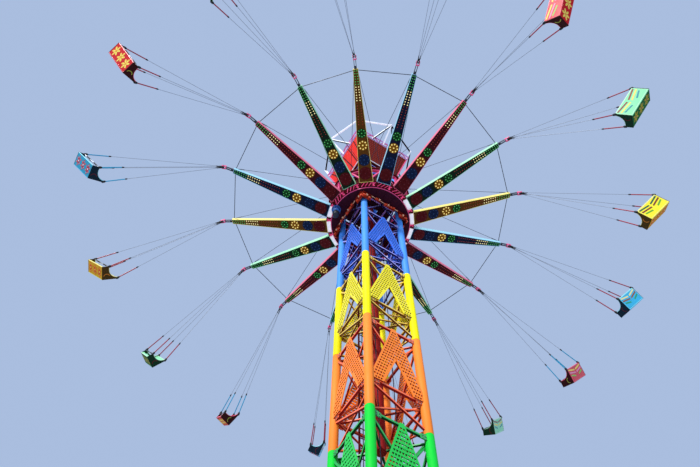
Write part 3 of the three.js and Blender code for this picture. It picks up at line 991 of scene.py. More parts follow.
def rungs_tree():
    """A row of level rungs, one over the other, from a start point."""
    tree = Tree(
        "rungs",
        [
            ("Count", "NodeSocketInt", 10),
            ("Step", "NodeSocketVector", None),
            ("Start", "NodeSocketVector", None),
            ("Length", "NodeSocketFloat", 0.4),
            ("Radius", "NodeSocketFloat", 0.012),
            ("Paint", "finish", None),
        ],
    )
    given = tree.given
    line = tree.node(
        "GeometryNodeMeshLine",
        {"Count": given["Count"], "Start Location": given["Start"], "Offset": given["Step"]},
    )
    rung = tree.node(
        "GeometryNodeMeshCylinder",
        {"Vertices": 8, "Radius": given["Radius"], "Depth": given["Length"]},
    )
    placed = tree.node(
        "GeometryNodeInstanceOnPoints",
        {"Points": line.outputs[0], "Instance": rung.outputs["Mesh"], "Rotation": (math.pi / 2, 0, 0)},
    )
    tree.finish(placed.outputs[0], given["Paint"])
    return tree


SHEET_TREE = perforated_sheet_tree()
LAMP_TREE = fittings_tree("lamp caps", "dome")
BOLT_TREE = fittings_tree("bolt heads", "bolt")
RUNG_TREE = rungs_tree()


def spots(places, size=0.01):
    """A carrier with one small face at each place, facing along the place's Z."""
    shape = Shape()
    for place in places:
        shape.add([place @ vec(x * size, y * size, 0) for x, y in SQUARE], [(0, 1, 2, 3)])
    return mesh_of(shape, "spots", [])


def bolts(places, name, body, radius, height):
    """A piece of zinc-coated hexagon heads, one at each place."""
    mesh = BOLT_TREE.grow(spots(places), Radius=radius, Height=height, Sides=6, Paint=ZINC)
    mount(show(mesh, name), body)


def joined(meshes, name, paints, places, dark=None):
    """One mesh from several, each at all places: a finish for each, or one for lit faces and a darker one,
    painted shade, for the faces that look down.
    """
    whole = Shape()
    for number, mesh in enumerate(meshes):
        points = [v.co.copy() for v in mesh.vertices]
        faces = [tuple(p.vertices) for p in mesh.polygons]
        for place in places:
            whole.add([place @ p for p in points], faces, number if dark is None else 0)
    if dark is not None:
        whole.shade(0, dark)
    return mesh_of(whole, name, paints)


def welded_mesh(mesh):
    """The same mesh with its touching corners made one."""
    whole = bmesh.new()
    whole.from_mesh(mesh)
    bmesh.ops.remove_doubles(whole, verts=whole.verts, dist=1e-5)
    whole.to_mesh(mesh)
    whole.free()
    return mesh


def coat_node(name, finish):
    """Paints one of the frame's own nodes, which stays as it is."""
    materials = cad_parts[name].data.materials
    materials.clear()
    materials.append(finish)


# Tower


def rail_heights(number):
    """Bottom, top, upper rail and middle rail of one band of the tower."""
    bottom = BAND_TOPS[number - 1] if number else SLAB_TOP
    top = BAND_TOPS[number]
    high = top - TOP_BAR_DROP
    return bottom + SEAM, top, high, high - STRIP_BAY if number else (bottom + high) / 2


def face_frame(number):
    """Rails, sloping bars and gusset plates of the face at +X, with the tab that holds its strip."""
    bottom, _, high, middle = rail_heights(number)
    face = Shape()
    out = vec(1, 0, 0)
    for z in (high, middle):
        face.bar(vec(LEG_AT, -BAR_END, z), vec(LEG_AT, BAR_END, z), BAR, BAR, out, 1)
    for top, foot in ((high, middle), (middle, bottom)):
        top, foot = top - SLOPE_START, foot + SLOPE_START
        face.bar(vec(LEG_AT, -BAR_END, top), vec(LEG_AT, BAR_END, foot), SLOPING_BAR, SLOPING_BAR, out, 1)
        a, b = vec(SECOND_BAR_AT, BAR_END, top), vec(SECOND_BAR_AT, -BAR_END, foot)
        face.bar(a, b, SECOND_BAR, SECOND_BAR, out, 1)
    for z in (high, middle):
        for sign, outline in ((-1, GUSSET), (1, mirrored(GUSSET))):
            face.plate(outline, move(GUSSET_FACE, sign * GUSSET_AT, z) @ ONTO_X, GUSSET_THICKNESS, 1)
    if number:
        tip = vec(STRIP_BACK, STRIP_TAB, high + STRIP_TAB / 2)
        face.box(vec(LEG_AT, -STRIP_TAB, high - STRIP_TAB / 2), tip, 1)
    return face


def section_frame(number):
    """Round legs, four faces of bracing and the level cross bars of one band of the tower."""
    bottom, top, high, middle = rail_heights(number)
    shape = Shape()
    height, end = top - bottom, LEG_RADIUS - LEG_CHAMFER / 2
    leg = [(end, 0), (LEG_RADIUS, LEG_CHAMFER), (LEG_RADIUS, height - LEG_CHAMFER), (end, height)]
    for sx, sy in CORNERS:
        shape.turned(move(sx * LEG_AT, sy * LEG_AT, bottom), leg, 28)
    shape.repeat(face_frame(number), ring_places(4))
    width, depth = CROSS_BAR
    for z in (high, middle):
        for sign in (-1, 1):
            level = z - width + sign * width / 2
            a = vec(-CROSS_BAR_END, sign * CROSS_BAR_END, level)
            shape.bar(a, vec(-a.x, -a.y, level), width, depth, UP, 1)
    # Bracing faces that look down take the darker tone: painted shade.
    return shape.shade(1, 2)


def strip_outer(z):
    """How far the strip's outer edge is from the face's middle, at a depth below the upper rail."""
    return min(STRIP_REACH, STRIP_PEAK + (STRIP_REACH - STRIP_PEAK) * -z / (STRIP_BAY - STRIP_END))


def strip_inner(z):
    """The same for the strip's inner edge, which is in the middle above its throat."""
    return max(0.0, (STRIP_REACH - STRIP_FOOT) * (-z - STRIP_THROAT) / (STRIP_HEIGHT - STRIP_THROAT))


def strip_carrier():
    """The inverted V as flat brick-like cells, those to be cut open being marked."""
    heights = [-STRIP_HEIGHT * (1 - k / STRIP_ROWS) for k in range(STRIP_ROWS + 1)]
    half_pitch = SLOT_PITCH / 2
    steps = [k * half_pitch for k in range(math.ceil(STRIP_REACH / half_pitch))]
    lines = []
    for z in heights:
        low, high = strip_inner(z), strip_outer(z)
        between = [y for y in steps if low + SMALLEST_CELL < y < high - SMALLEST_CELL]
        lines.append([low, *between, high])
    shape = Shape()
    opened = []

    def cell(row, start, end, is_open):
        """A cell on each side of the middle; None stands for the strip's own edge."""
        corners = []
        for line, z in ((lines[row], heights[row]), (lines[row + 1], heights[row + 1])):
            low = line[0] if start is None else start
            high = line[-1] if end is None else end
            corners.append([vec(STRIP_BACK, y, z) for y in line if low - TOUCH <= y <= high + TOUCH])
        ring = corners[0] + corners[1][::-1]
        for points in (ring, [vec(p.x, -p.y, p.z) for p in reversed(ring)]):
            shape.add(points, [tuple(range(len(points)))])
            opened.append(is_open)

    for row in range(STRIP_ROWS):
        inside = max(lines[row][0], lines[row + 1][0])
        room = min(lines[row][-1], lines[row + 1][-1]) - STRIP_BORDER
        shift = (row % 2) * half_pitch
        start = shift
        if inside > 0:
            start += math.ceil((inside + STRIP_BORDER - shift) / SLOT_PITCH) * SLOT_PITCH
        if start + SLOT_PITCH > room:
            cell(row, None, None, False)
            continue
        if start > lines[row][0] + TOUCH or start > lines[row + 1][0] + TOUCH:
            cell(row, None, start, inside == 0)
        while start + SLOT_PITCH <= room:
            cell(row, start, start + SLOT_PITCH, True)
            start += SLOT_PITCH
        cell(row, start, None, False)
    mesh = mesh_of(shape, "strip cells", [])
    mesh.attributes.new("open", "BOOLEAN", "FACE").data.foreach_set("value", opened)
    return mesh


def build_tower():
    """The tower's base and sections, each with its perforated strips."""
    strip = SHEET_TREE.grow(welded_mesh(strip_carrier()), Open_share=SLOT_SHARE, Slot_height=SLOT_HEIGHT)
    for number, colour in enumerate(BAND_PAINTS):
        name = f"tower_section_{number}" if number else "tower_base"
        shape = section_frame(number)
        if not number:
            add_feet(shape)
        # Legs in their own paint; bracing in a painted sunlit tone, with painted shade on its undersides.
        paints = [LEG_PAINT[colour], BAR_SUNLIT_TONE[colour], BAR_PAINTED_SHADE[colour]]
        fit(shape, f"{name}_frame", "tower", paints, [name], rounding=0.005)
        if number:
            _, _, high, _ = rail_heights(number)
            places = [move(0, 0, high) @ place for place in ring_places(4)]
            # Slot walls that look down take the bracing's painted shade, so the slots read dark.
            mesh = joined([strip], f"{name}_strips", [STRIP_PAINT[colour], BAR_PAINTED_SHADE[colour]], places, 1)
            mount(show(mesh, f"{name}_strips"), "tower")


def add_feet(shape):
    """Foot plates on the slab with four ribs to each leg."""
    half = FOOT_PLATE / 2
    for sx, sy in CORNERS:
        at = vec(sx * LEG_AT, sy * LEG_AT, SLAB_TOP + SEAM)
        shape.box(at - vec(half, half, 0), at + vec(half, half, FOOT_THICKNESS))
        for place in ring_places(4):
            beside = move(LEG_RADIUS - 0.004, FOOT_RIB_THICKNESS / 2, FOOT_THICKNESS)
            shape.plate(FOOT_RIB, Matrix.Translation(at) @ place @ beside @ turn(90, "X"), FOOT_RIB_THICKNESS)


def build_bolts():
    """Bolt heads on the gusset plates and on the foot plates."""
    places = []
    for number in range(len(BAND_TOPS)):
        _, _, high, middle = rail_heights(number)
        for z in (high, middle):
            for sign in (-1, 1):
                for dy, dz in GUSSET_BOLTS:
                    places.append(move(GUSSET_BOLT_FACE, sign * (GUSSET_AT - dy), z + dz) @ ONTO_X)
    whole = [ring @ place for ring in ring_places(4) for place in places]
    for sx, sy in CORNERS:
        for dx in (-FOOT_BOLT_AT, FOOT_BOLT_AT):
            for dy in (-FOOT_BOLT_AT, FOOT_BOLT_AT):
                whole.append(move(sx * LEG_AT + dx, sy * LEG_AT + dy, SLAB_TOP + FOOT_BOLT_HEIGHT))
    bolts(whole, "tower_bolts", "tower", *TOWER_BOLT)


def build_ladder():
    """Ladder inside the tower's back face, with a pair of holders at the top of each band."""
    rails = Shape()
    width, depth = LADDER_RAIL
    for y in (-LADDER_HALF, LADDER_HALF):
        rails.bar(vec(LADDER_AT, y, LADDER_BOTTOM), vec(LADDER_AT, y, LADDER_TOP), width, depth, vec(1, 0, 0))
    for band in BAND_TOPS[:-1]:
        z = band - TOP_BAR_DROP - 0.04
        for y in (-LADDER_HALF, LADDER_HALF):
            rails.bar(vec(-LEG_AT, y, z), vec(LADDER_AT, y, z), LADDER_HOLDER, LADDER_HOLDER)
    fit(rails, "ladder_rails", "tower", [DARK_RED])
    rungs = RUNG_TREE.grow(
        spots([move(0, 0, 0)]),
        Count=RUNGS,
        Step=(0, 0, RUNG_PITCH),
        Start=(LADDER_AT, 0, FIRST_RUNG),
        Length=2 * LADDER_HALF,
        Paint=DARK_RED,
    )
    mount(show(rungs, "ladder_rungs"), "tower")


def build_hoist_ropes():
    """Four hoist ropes beside the lift cylinder, each held on the slab by a block."""
    ropes = Shape()
    for sx, sy in CORNERS:
        foot = vec(sx * ROPE_AT[0], sy * ROPE_AT[1], SLAB_TOP + 0.02)
        ropes.tube(foot, vec(foot.x, foot.y, ROPE_TOP), ROPE_RADIUS, 6)
        ropes.box(foot - vec(0.05, 0.05, 0.019), foot + vec(0.05, 0.05, 0.06))
    fit(ropes, "hoist_ropes", "tower", [STAY_WIRE])


def build_lift_cylinder():
    """The hanging lift cylinder with its joint flanges, its head beam and its rope sheaves."""
    shape = Shape()
    outline = [(0.09, CYLINDER_BOTTOM), (CYLINDER_RADIUS - 0.01, CYLINDER_BOTTOM + 0.02)]
    z = CYLINDER_BOTTOM + 0.05
    while z < HEAD_BOTTOM - 0.8:
        low, high = z + CYLINDER_JOINT - 0.07, z + CYLINDER_JOINT - 0.01
        outline += [(CYLINDER_BARREL, z + 0.02), (CYLINDER_BARREL, low - 0.01)]
        outline += [(CYLINDER_RADIUS, low), (CYLINDER_RADIUS, high), (CYLINDER_BARREL, high + 0.01)]
        z += CYLINDER_JOINT
    outline = [(radius, z) for radius, z in outline if z < HEAD_BOTTOM - 0.12]
    outline.append((CYLINDER_BARREL, HEAD_BOTTOM - 0.06))
    shape.turned(Matrix.Identity(4), outline, 24)
    beam = HEAD_BOTTOM - LIFT_BEAM_DROP
    reach = LEG_AT - BAR / 2 - 0.001
    for web in (-LIFT_WEB_AT, LIFT_WEB_AT):
        low, high = beam - LIFT_BEAM_HALF, beam + LIFT_BEAM_HALF
        shape.box(vec(-reach, web - 0.01, low), vec(reach, web + 0.01, high))
        for z in (beam - 0.085, beam + 0.085):
            shape.box(vec(-reach, web - 0.03, z - 0.008), vec(reach, web + 0.03, z + 0.008))
    for sx, sy in CORNERS:
        axle = vec(sx * SHEAVE_AT[0], sy * SHEAVE_AT[1], beam - 0.02)
        shape.turned(along(axle, axle + vec(0, sy, 0)), SHEAVE, 20)
    fit(shape, "lift_gear", "tower", [LIFT_RED], ["lift_cylinder"], rounding=0.003)


def build_service_floor():
    """Square service floor inside the tower over the hub, open in the middle, on lilac bearers."""
    shape = Shape()
    half, hole, low, high = FLOOR_HALF, FLOOR_HOLE, FLOOR_Z, FLOOR_Z + FLOOR_THICKNESS
    for start, end in ((-half, -hole), (hole, half)):
        shape.box(vec(start, -half, low), vec(end, half, high))
        shape.box(vec(-hole, start, low), vec(hole, end, high))
    for y in (-0.42, 0.42):
        shape.bar(vec(-LEG_AT, y, low - 0.02), vec(LEG_AT, y, low - 0.02), 0.05, 0.04, UP, 1)
    shape.bar(vec(0.5, -half, low - 0.05), vec(0.5, half, low - 0.05), 0.04, 0.03, UP, 1)
    fit(shape, "service_floor", "tower", [MAROON, LILAC], rounding=0.003)


# Head


def on_head(y_share, z_share, out=0.0):
    """A point on the head's face at +X, by shares of its half width and of its height."""
    low, high = HEAD_HALF_BOTTOM - PANEL_INSET, HEAD_HALF_TOP - PANEL_INSET
    half = low + (high - low) * z_share
    return vec(half + out, y_share * half, HEAD_FOOT + (HEAD_TOP - HEAD_FOOT) * z_share)


def head_panel(finish):
    """The flared sheet of the head's face at +X."""
    corners = []
    for inset in (0, PANEL_THICKNESS):
        for half, sign, z in (
            (HEAD_HALF_BOTTOM, -1, HEAD_FOOT),
            (HEAD_HALF_BOTTOM, 1, HEAD_FOOT),
            (HEAD_HALF_TOP, 1, HEAD_TOP),
            (HEAD_HALF_TOP, -1, HEAD_TOP),
        ):
            reach = half - PANEL_INSET - inset
            corners.append(vec(reach, sign * reach, z))
    faces = [(0, 1, 2, 3), (7, 6, 5, 4), (4, 5, 1, 0), (3, 2, 6, 7), (0, 3, 7, 4), (1, 5, 6, 2)]
    return Shape().add(corners, faces, finish)


def build_head():
    """Flared box at the tower's top: seamed red panels and brown grilles by turns, the grilles' brown
    darkened as painted shade, and its floor.
    """
    seamed, grille = head_panel(0), head_panel(2)
    out = vec(1, 0, 0)
    for share in PANEL_SEAMS:
        start, end = on_head(share, 0.97, 0.004), on_head(share + PANEL_SEAM_LEAN, 0.03, 0.004)
        seamed.bar(start, end, 0.045, 0.014, out, 1)
    for k in range(1, GRILLE_ROWS):
        z = k / GRILLE_ROWS
        grille.bar(on_head(-0.97, z, 0.003), on_head(0.97, z, 0.003), 0.018, 0.01, out, 1)
    for k in range(1 - GRILLE_COLUMNS, GRILLE_COLUMNS):
        y = k / GRILLE_COLUMNS
        grille.bar(on_head(y, 0.02, 0.003), on_head(y, 0.98, 0.003), 0.014, 0.01, out, 1)
    shape = Shape()
    for k, place in enumerate(ring_places(4)):
        shape.join(seamed if k % 2 else grille, place)
    floor = HEAD_HALF_BOTTOM - PANEL_INSET - PANEL_THICKNESS
    shape.box(vec(-floor, -floor, HEAD_FOOT), vec(floor, floor, HEAD_FOOT + 0.03), 1)
    paints = [PANEL_RED, PANEL_SEAM, PANEL_BROWN_AND_SHADE]
    fit(shape, "head_panels", "tower", paints, ["tower_head"], rounding=0.003)


def build_head_tubes():
    """Tubes along the head's edges and the crossed lattice behind its panels."""
    side = Shape()
    low, high = HEAD_HALF_BOTTOM - 0.01, HEAD_HALF_TOP - 0.006
    foot = HEAD_FOOT + 0.03
    side.tube(vec(low, low, foot), vec(high, high, HEAD_TOP - 0.03), HEAD_TUBE)
    side.tube(vec(low, -low, foot), vec(low, low, foot), HEAD_TUBE, finish=1)
    for share in (0.0, 0.34, 0.68):
        for end, setback in ((0.86, -0.07), (-0.86, -0.09)):
            start, stop = on_head(-end, share + 0.02, setback), on_head(end, share + 0.32, setback)
            side.tube(start, stop, HEAD_LATTICE_TUBE, 8)
    edges = Shape().repeat(side, ring_places(4))
    fit(edges, "head_edge_tubes", "tower", [PINK, WHITE])


def build_head_rail():
    """Lilac truss round the head's top edge: two chords and a zigzag between them."""
    low = HEAD_TOP + 0.03
    bays = HEAD_RAIL_BAYS

    def on_rail(step, top):
        half = HEAD_HALF_TOP + (0.07 if top else 0.01)
        return vec(half, half * (2 * step / bays - 1), low + HEAD_RAIL_HEIGHT if top else low)

    side = Shape()
    for top in (False, True):
        side.tube(on_rail(0, top), on_rail(bays, top), 0.026, 10)
    for k in range(bays):
        side.tube(on_rail(k, k % 2 == 0), on_rail(k + 1, k % 2 == 1), 0.018, 8, 1)
        side.tube(on_rail(k, False), on_rail(k, True), 0.014, 8, 1)
    truss = Shape().repeat(side, ring_places(4))
    fit(truss, "head_rail_truss", "tower", [LILAC, PINK])


def build_crown():
    """White tube octagon on V struts from the rail round the head: the outer struts and six tubes black on
    their undersides as painted shade, the middle struts, two tubes and the knots glowing white as painted
    sunlight.
    """
    shape = Shape()
    corners = [p + UP * CROWN_Z for p in circle(CROWN_RADIUS, 8)]
    edge = HEAD_HALF_TOP - 0.02
    for k, place in enumerate(ring_places(4)):
        for y in (-STRUT_AT, STRUT_AT):
            shape.bar(place @ vec(edge, y, CROWN_FOOT), corners[2 * k], *STRUT)
        shape.bar(place @ vec(edge, edge, CROWN_FOOT), corners[2 * k + 1], *STRUT)
    for k in range(6):
        shape.tube(corners[k], corners[k + 1], CROWN_TUBE, 12)
    # Faces of the outer struts and of six tubes that look down turn black: painted shade.
    shape.shade(0, 1)
    # The middle struts, the two sunlit tubes and the knots glow white: painted sunlight.
    for k, place in enumerate(ring_places(4)):
        shape.bar(place @ vec(edge, 0, CROWN_FOOT), corners[2 * k], *STRUT, UP, 2)
        start, end = place @ vec(edge, -edge, CROWN_FOOT), place @ vec(edge, edge, CROWN_FOOT)
        shape.tube(start, end, CROWN_RAIL_TUBE, 12)
    for k in (6, 7):
        shape.tube(corners[k], corners[(k + 1) % 8], CROWN_TUBE, 12, 2)
    for corner in corners:
        shape.turned(Matrix.Translation(corner - UP * 0.044), CROWN_KNOT, 12, 2)
    fit(shape, "crown_tubes", "tower", [WHITE, WHITE_TUBE_PAINTED_SHADE, WHITE_SUNLIGHT_GLOW], ["crown_frame"])


# Carriage


def build_carriage():
    """Deck plate with ribs, drum, guide ring and cover plate on posts, and the guide pads on the legs."""
    shape = Shape()
    outer = circle(DECK_RADIUS - 0.004, DECK_SIDES)
    square = []
    for p in outer:
        reach = DECK_HOLE / max(abs(p.x), abs(p.y))
        square.append(vec(p.x * reach, p.y * reach, 0))
    shape.band(outer, square, DECK_Z + 0.012, DECK_TOP)
    for place in ring_places(DECK_RIBS, 180 / DECK_RIBS):
        direction = place @ vec(1, 0, 0)
        start = (DECK_HOLE + 0.05) / max(abs(direction.x), abs(direction.y))
        shape.join(Shape().box(vec(start, -0.006, DECK_Z), vec(RIB_END, 0.006, DECK_Z + 0.02)), place)
    for low, high in ((DECK_TOP - 0.01, DRUM_TOP), (GUIDE_BOTTOM, GUIDE_TOP)):
        shape.band(circle(DRUM_OUTER, DRUM_SIDES), circle(DRUM_INNER, DRUM_SIDES), low, high)
    shape.band(circle(DRUM_INNER + 0.004, DECK_SIDES), square, COVER_BOTTOM, COVER_TOP)
    post = Shape().box(vec(DRUM_INNER, -0.035, DRUM_TOP - 0.02), vec(1.31, 0.035, GUIDE_BOTTOM + 0.02))
    shape.repeat(post, ring_places(8, 22.5))
    for bottom, top in ((DECK_TOP + 0.03, DRUM_TOP - 0.02), (GUIDE_BOTTOM + 0.01, GUIDE_TOP - 0.01)):
        pads = Shape()
        for sign in (-1, 1):
            low, high = sign * BAR_END - PAD_HALF, sign * BAR_END + PAD_HALF
            pads.box(vec(BRACKET_INNER, low, bottom), vec(BRACKET_OUTER, high, top))
            pads.box(vec(PAD_FACE, low, bottom), vec(BRACKET_INNER, high, top), 1)
        shape.repeat(pads, ring_places(4))
    fit(shape, "deck_and_guides", "carriage", [MAROON, BLACK], ["carriage"], rounding=0.004)
    rim = Shape()
    rim.pipe([p + UP * (DECK_Z + 0.03) for p in circle(DECK_RADIUS - 0.012, DECK_SIDES)], 0.02, 8, 0, True)
    fit(rim, "deck_rim", "carriage", [PINK])


def build_guide_cage():
    """Sheet and lattice walls that carry the guides up through the mast."""
    side = Shape()
    half, low, high = CAGE_HALF, CAGE_SHEET_TOP, GUIDE_BOTTOM + 0.03
    side.box(vec(half, -half, DECK_TOP - 0.005), vec(half + 0.008, half, low))
    for k in range(CAGE_RIBS):
        y = -half + 0.05 + k * (2 * half - 0.1) / (CAGE_RIBS - 1)
        side.box(vec(half - 0.02, y - 0.01, DECK_TOP), vec(half, y + 0.01, low), 1)
    for z in (low, high):
        side.tube(vec(half, -half, z), vec(half, half, z), CAGE_TUBE, 10, 1)
    for k in range(4):
        start, end = (low, high) if k % 2 else (high, low)
        a, b = vec(half, (k / 2 - 1) * half, start), vec(half, (k / 2 - 0.5) * half, end)
        side.tube(a, b, CAGE_LATTICE_TUBE, 8, 1)
    cage = Shape().repeat(side, ring_places(4))
    fit(cage, "guide_cage", "carriage", [DARK_RED, PINK], rounding=0.002)


def roller_block(count, drop):
    """A hanging plate with rollers on its face, their axles and their small fork plates, facing +X."""
    block = Shape()
    half = ROLLER_PITCH * count / 2
    block.box(vec(0, -half, -drop), vec(0.014, half, 0.0))
    for k in range(count):
        y = (k - (count - 1) / 2) * ROLLER_PITCH
        z = -drop * (0.36 if k % 2 else 0.66)
        for cheek in (-0.04, 0.032):
            block.box(vec(0.014, y + cheek, z - 0.05), vec(0.08, y + cheek + 0.008, z + 0.05), 1)
        axle = along(vec(ROLLER_AT, y - 0.03, z), vec(ROLLER_AT, y + 0.03, z))
        block.turned(axle, ROLLER, 14, 2 if k % 3 == 1 else 1)
        block.tube(vec(ROLLER_AT, y - 0.048, z), vec(ROLLER_AT, y + 0.048, z), 0.009, 8, 2)
    block.bar(vec(0.02, -half, -drop * 0.9), vec(0.02, half, -0.05), 0.02, 0.012, vec(1, 0, 0), 1)
    return block


def build_leg_guides():
    """Edge angle round the deck's hole, roller blocks at its corners and at uneven places between."""
    edge = DECK_HOLE + 0.012
    angle_foot, pipe = DECK_Z - 0.05, DECK_Z - 0.08
    corner, small, wide = roller_block(3, 0.40), roller_block(2, 0.17), roller_block(4, 0.22)
    side = Shape()
    side.box(vec(edge, -edge, angle_foot), vec(edge + 0.012, edge, DECK_Z + 0.01))
    side.box(vec(edge, -edge, angle_foot), vec(edge + 0.07, edge, angle_foot + 0.01))
    side.tube(vec(edge + 0.05, -0.55, pipe), vec(edge + 0.05, 0.50, pipe), 0.012, 8, 2)
    left, inner_left, inner_right, right = ROLLER_BLOCKS_AT
    for y in (left, right):
        side.join(corner, move(edge - 0.02, y, DECK_Z))
    side.join(small, move(edge + 0.02, inner_left, DECK_Z - 0.02))
    side.join(wide, move(edge + 0.02, inner_right, DECK_Z - 0.02))
    guides = Shape().repeat(side, ring_places(4))
    # Orange cheeks and cream rollers: bright paints scattered over the rust red frame, partly as painted
    # highlights.
    paints = [GUIDE_RED, GUIDE_ORANGE_AND_HIGHLIGHTS, GUIDE_CREAM_AND_HIGHLIGHTS]
    fit(guides, "leg_guide_rollers", "carriage", paints, rounding=0.002)


def build_motor():
    """Finned drive motor hanging under the deck, with its gear head, terminal box and flange bolts."""
    place = turn(MOTOR_ANGLE) @ move(MOTOR_AT, 0, DECK_Z - SEAM)
    shape = Shape()
    shape.turned(place, MOTOR_BARREL, MOTOR_SIDES, 1)
    shape.turned(place, MOTOR_GEAR, MOTOR_SIDES)
    shape.turned(place, MOTOR_FLANGE, MOTOR_SIDES)
    fin = Shape().box(vec(0.085, -0.004, -0.40), vec(0.108, 0.004, -0.28), 1)
    shape.repeat(fin, [place @ around for around in ring_places(MOTOR_FINS)])
    shape.join(Shape().box(vec(-0.05, -0.15, -0.40), vec(0.05, -0.08, -0.30)), place)
    paints = [MOTOR_BLUE, DARK_STEEL]
    fit(shape, "drive_motor_unit", "carriage", paints, ["drive_motor"], rounding=0.003)
    places = [place @ around @ move(0.145, 0, -0.06) @ turn(180, "X") for around in ring_places(8)]
    bolts(places, "motor_bolts", "carriage", 0.012, 0.016)


# Rotor


def build_ring():
    """Sixteen-sided ring that the arms are bolted to: its sheets, and webs and a flat at each arm."""
    shape = Shape()
    corner = RING_FLAT / math.cos(math.radians(STEP / 2))
    phase = ARM_PHASE + STEP / 2
    outer, recess = circle(corner, ARMS, phase), circle(corner - RING_RECESS, ARMS, phase)
    low, high = RING_BOTTOM + RING_SHEET, RING_TOP - RING_SHEET
    shape.band(recess, circle(RING_INNER, ARMS, phase), low, RING_TOP)
    for bottom in (low, high):
        shape.band(outer, recess, bottom, bottom + RING_SHEET)
    side = Shape()
    back, foot = RING_FLAT - 0.06, RING_BOTTOM + 0.03
    for y in RING_WEBS:
        side.box(vec(back, y - 0.006, foot), vec(RING_FLAT - 0.004, y + 0.006, high))
    side.box(vec(back, -0.235, foot), vec(RING_FLAT, 0.235, high))
    shape.repeat(side, ring_places(ARMS, ARM_PHASE))
    fit(shape, "arm_ring", "rotor", [DARK_RED], ["rotor_ring"], rounding=0.003)


def build_ring_trim():
    """Under the ring: a root plate with two webs to each arm, and pink tubes zigzagging round; the white
    plates and the pink tubes glow as painted sunlight.
    """
    low, outer = RING_BOTTOM + 0.001, RING_FLAT - 0.002
    plate = Shape().box(vec(1.345, -ROOT_PLATE_HALF, low), vec(outer, ROOT_PLATE_HALF, RING_BOTTOM + 0.022))
    for y in (-ROOT_WEB_AT, ROOT_WEB_AT):
        plate.box(vec(1.36, y - 0.01, low), vec(outer, y + 0.01, RING_TOP - 0.04))
    cross_bars = Shape()
    level = RING_BOTTOM + 0.012
    for y in (-0.12, 0.0, 0.12):
        cross_bars.tube(vec(1.36, y - 0.05, level), vec(ZIGZAG_OUTSIDE, y + 0.05, level), 0.016, 8)
    zigzag = Shape()
    level, half_way = RING_BOTTOM + 0.018, turn(STEP / 2)
    for side in (-1, 1):
        y = side * ROOT_WEB_AT
        a, b = vec(ZIGZAG_OUTSIDE, y, level), half_way @ vec(ZIGZAG_INSIDE, 0, level)
        zigzag.tube(a, b, 0.014, 8)
        a, b = vec(ZIGZAG_INSIDE, y, level), half_way @ vec(ZIGZAG_OUTSIDE, side * 0.02, level)
        zigzag.tube(a, b, 0.011, 8)
    plates, bars = Shape(), Shape()
    for k, place in enumerate(ring_places(ARMS, ARM_PHASE - 4 * STEP)):
        crimson = k + 1 in CRIMSON_PLATES
        plates.join(plate, place, 1 if crimson else 0)
        if crimson:
            bars.join(cross_bars, place)
        bars.join(zigzag, place)
    # White plates and pink tubes glow: painted sunlight.
    fit(plates, "arm_root_plates", "rotor", [WHITE_SUNLIGHT_GLOW, DARK_RED], rounding=0.002)
    fit(bars, "ring_zigzag", "rotor", [PINK_SUNLIGHT_GLOW])


def arm_run(radius):
    """Share of the way from an arm's root to its end."""
    return (radius - RING_FLAT) / (ARM_END_RADIUS - RING_FLAT)


def arm_underside(radius):
    return ARM_ROOT_UNDERSIDE + arm_run(radius) * (ARM_END_UNDERSIDE - ARM_ROOT_UNDERSIDE)


def arm_half_width(radius):
    return (ARM_ROOT_WIDTH + arm_run(radius) * (ARM_END_WIDTH - ARM_ROOT_WIDTH)) / 2


def arm_top(radius):
    return arm_underside(radius) + ARM_ROOT_DEPTH + arm_run(radius) * (ARM_END_DEPTH - ARM_ROOT_DEPTH)


def under_arm(radius, y=0.0):
    """A place on the lamp panel under the arm, its Z pointing down and its X outward."""
    slope = math.atan2(ARM_END_UNDERSIDE - ARM_ROOT_UNDERSIDE, ARM_END_RADIUS - RING_FLAT)
    at = move(radius, y, arm_underside(radius) + LAMP_PANEL_RECESS)
    return at @ turn(-math.degrees(slope), "Y") @ turn(180, "X")


def arm_shape():
    """One arm along +X: side plates, top plate, recessed lamp panel, end plates and the neck to the fork."""
    root, end = RING_FLAT + SEAM, ARM_END_RADIUS

    def sections(radius, depth):
        """Cross-sections of the side plates, the top plate and the lamp panel."""
        half, low, high = arm_half_width(radius), arm_underside(radius), arm_top(radius)
        inner = half - ARM_SHEET
        sizes = [
            (-half, -inner, low, high),
            (inner, half, low, high),
            (-inner, inner, low + (depth - ARM_TOP_SHEET), high),
            (-inner, inner, low + LAMP_PANEL_RECESS, high - LAMP_PANEL_DEPTH),
        ]
        rings = []
        for y0, y1, z0, z1 in sizes:
            rings.append([vec(radius, y0, z0), vec(radius, y1, z0), vec(radius, y1, z1), vec(radius, y0, z1)])
        return rings

    shape = Shape()
    parts = zip(sections(root, ARM_ROOT_DEPTH), sections(end, ARM_END_DEPTH))
    for rings, finish in zip(parts, (0, 0, 0, 1)):
        shape.skin(rings, finish)
    for radius in (root, end - ARM_SHEET):
        half = arm_half_width(radius) - ARM_SHEET
        low, high = arm_underside(radius) + 0.004, arm_top(radius) - 0.004
        shape.box(vec(radius, -half, low), vec(radius + ARM_SHEET, half, high))
    neck = vec(end - 0.02, 0, ARM_END_UNDERSIDE + ARM_END_DEPTH / 2)
    tip = vec(PIN_AT - 0.095, 0, PIN_Z)
    for side in (-1, 1):
        shape.bar(neck + vec(0, side * 0.034, 0), tip + vec(0, side * 0.03, 0), 0.018, 0.08, UP, 2)
    shape.bar(neck, neck + (tip - neck) * 0.35, 0.06, 0.07, UP, 2)
    return shape


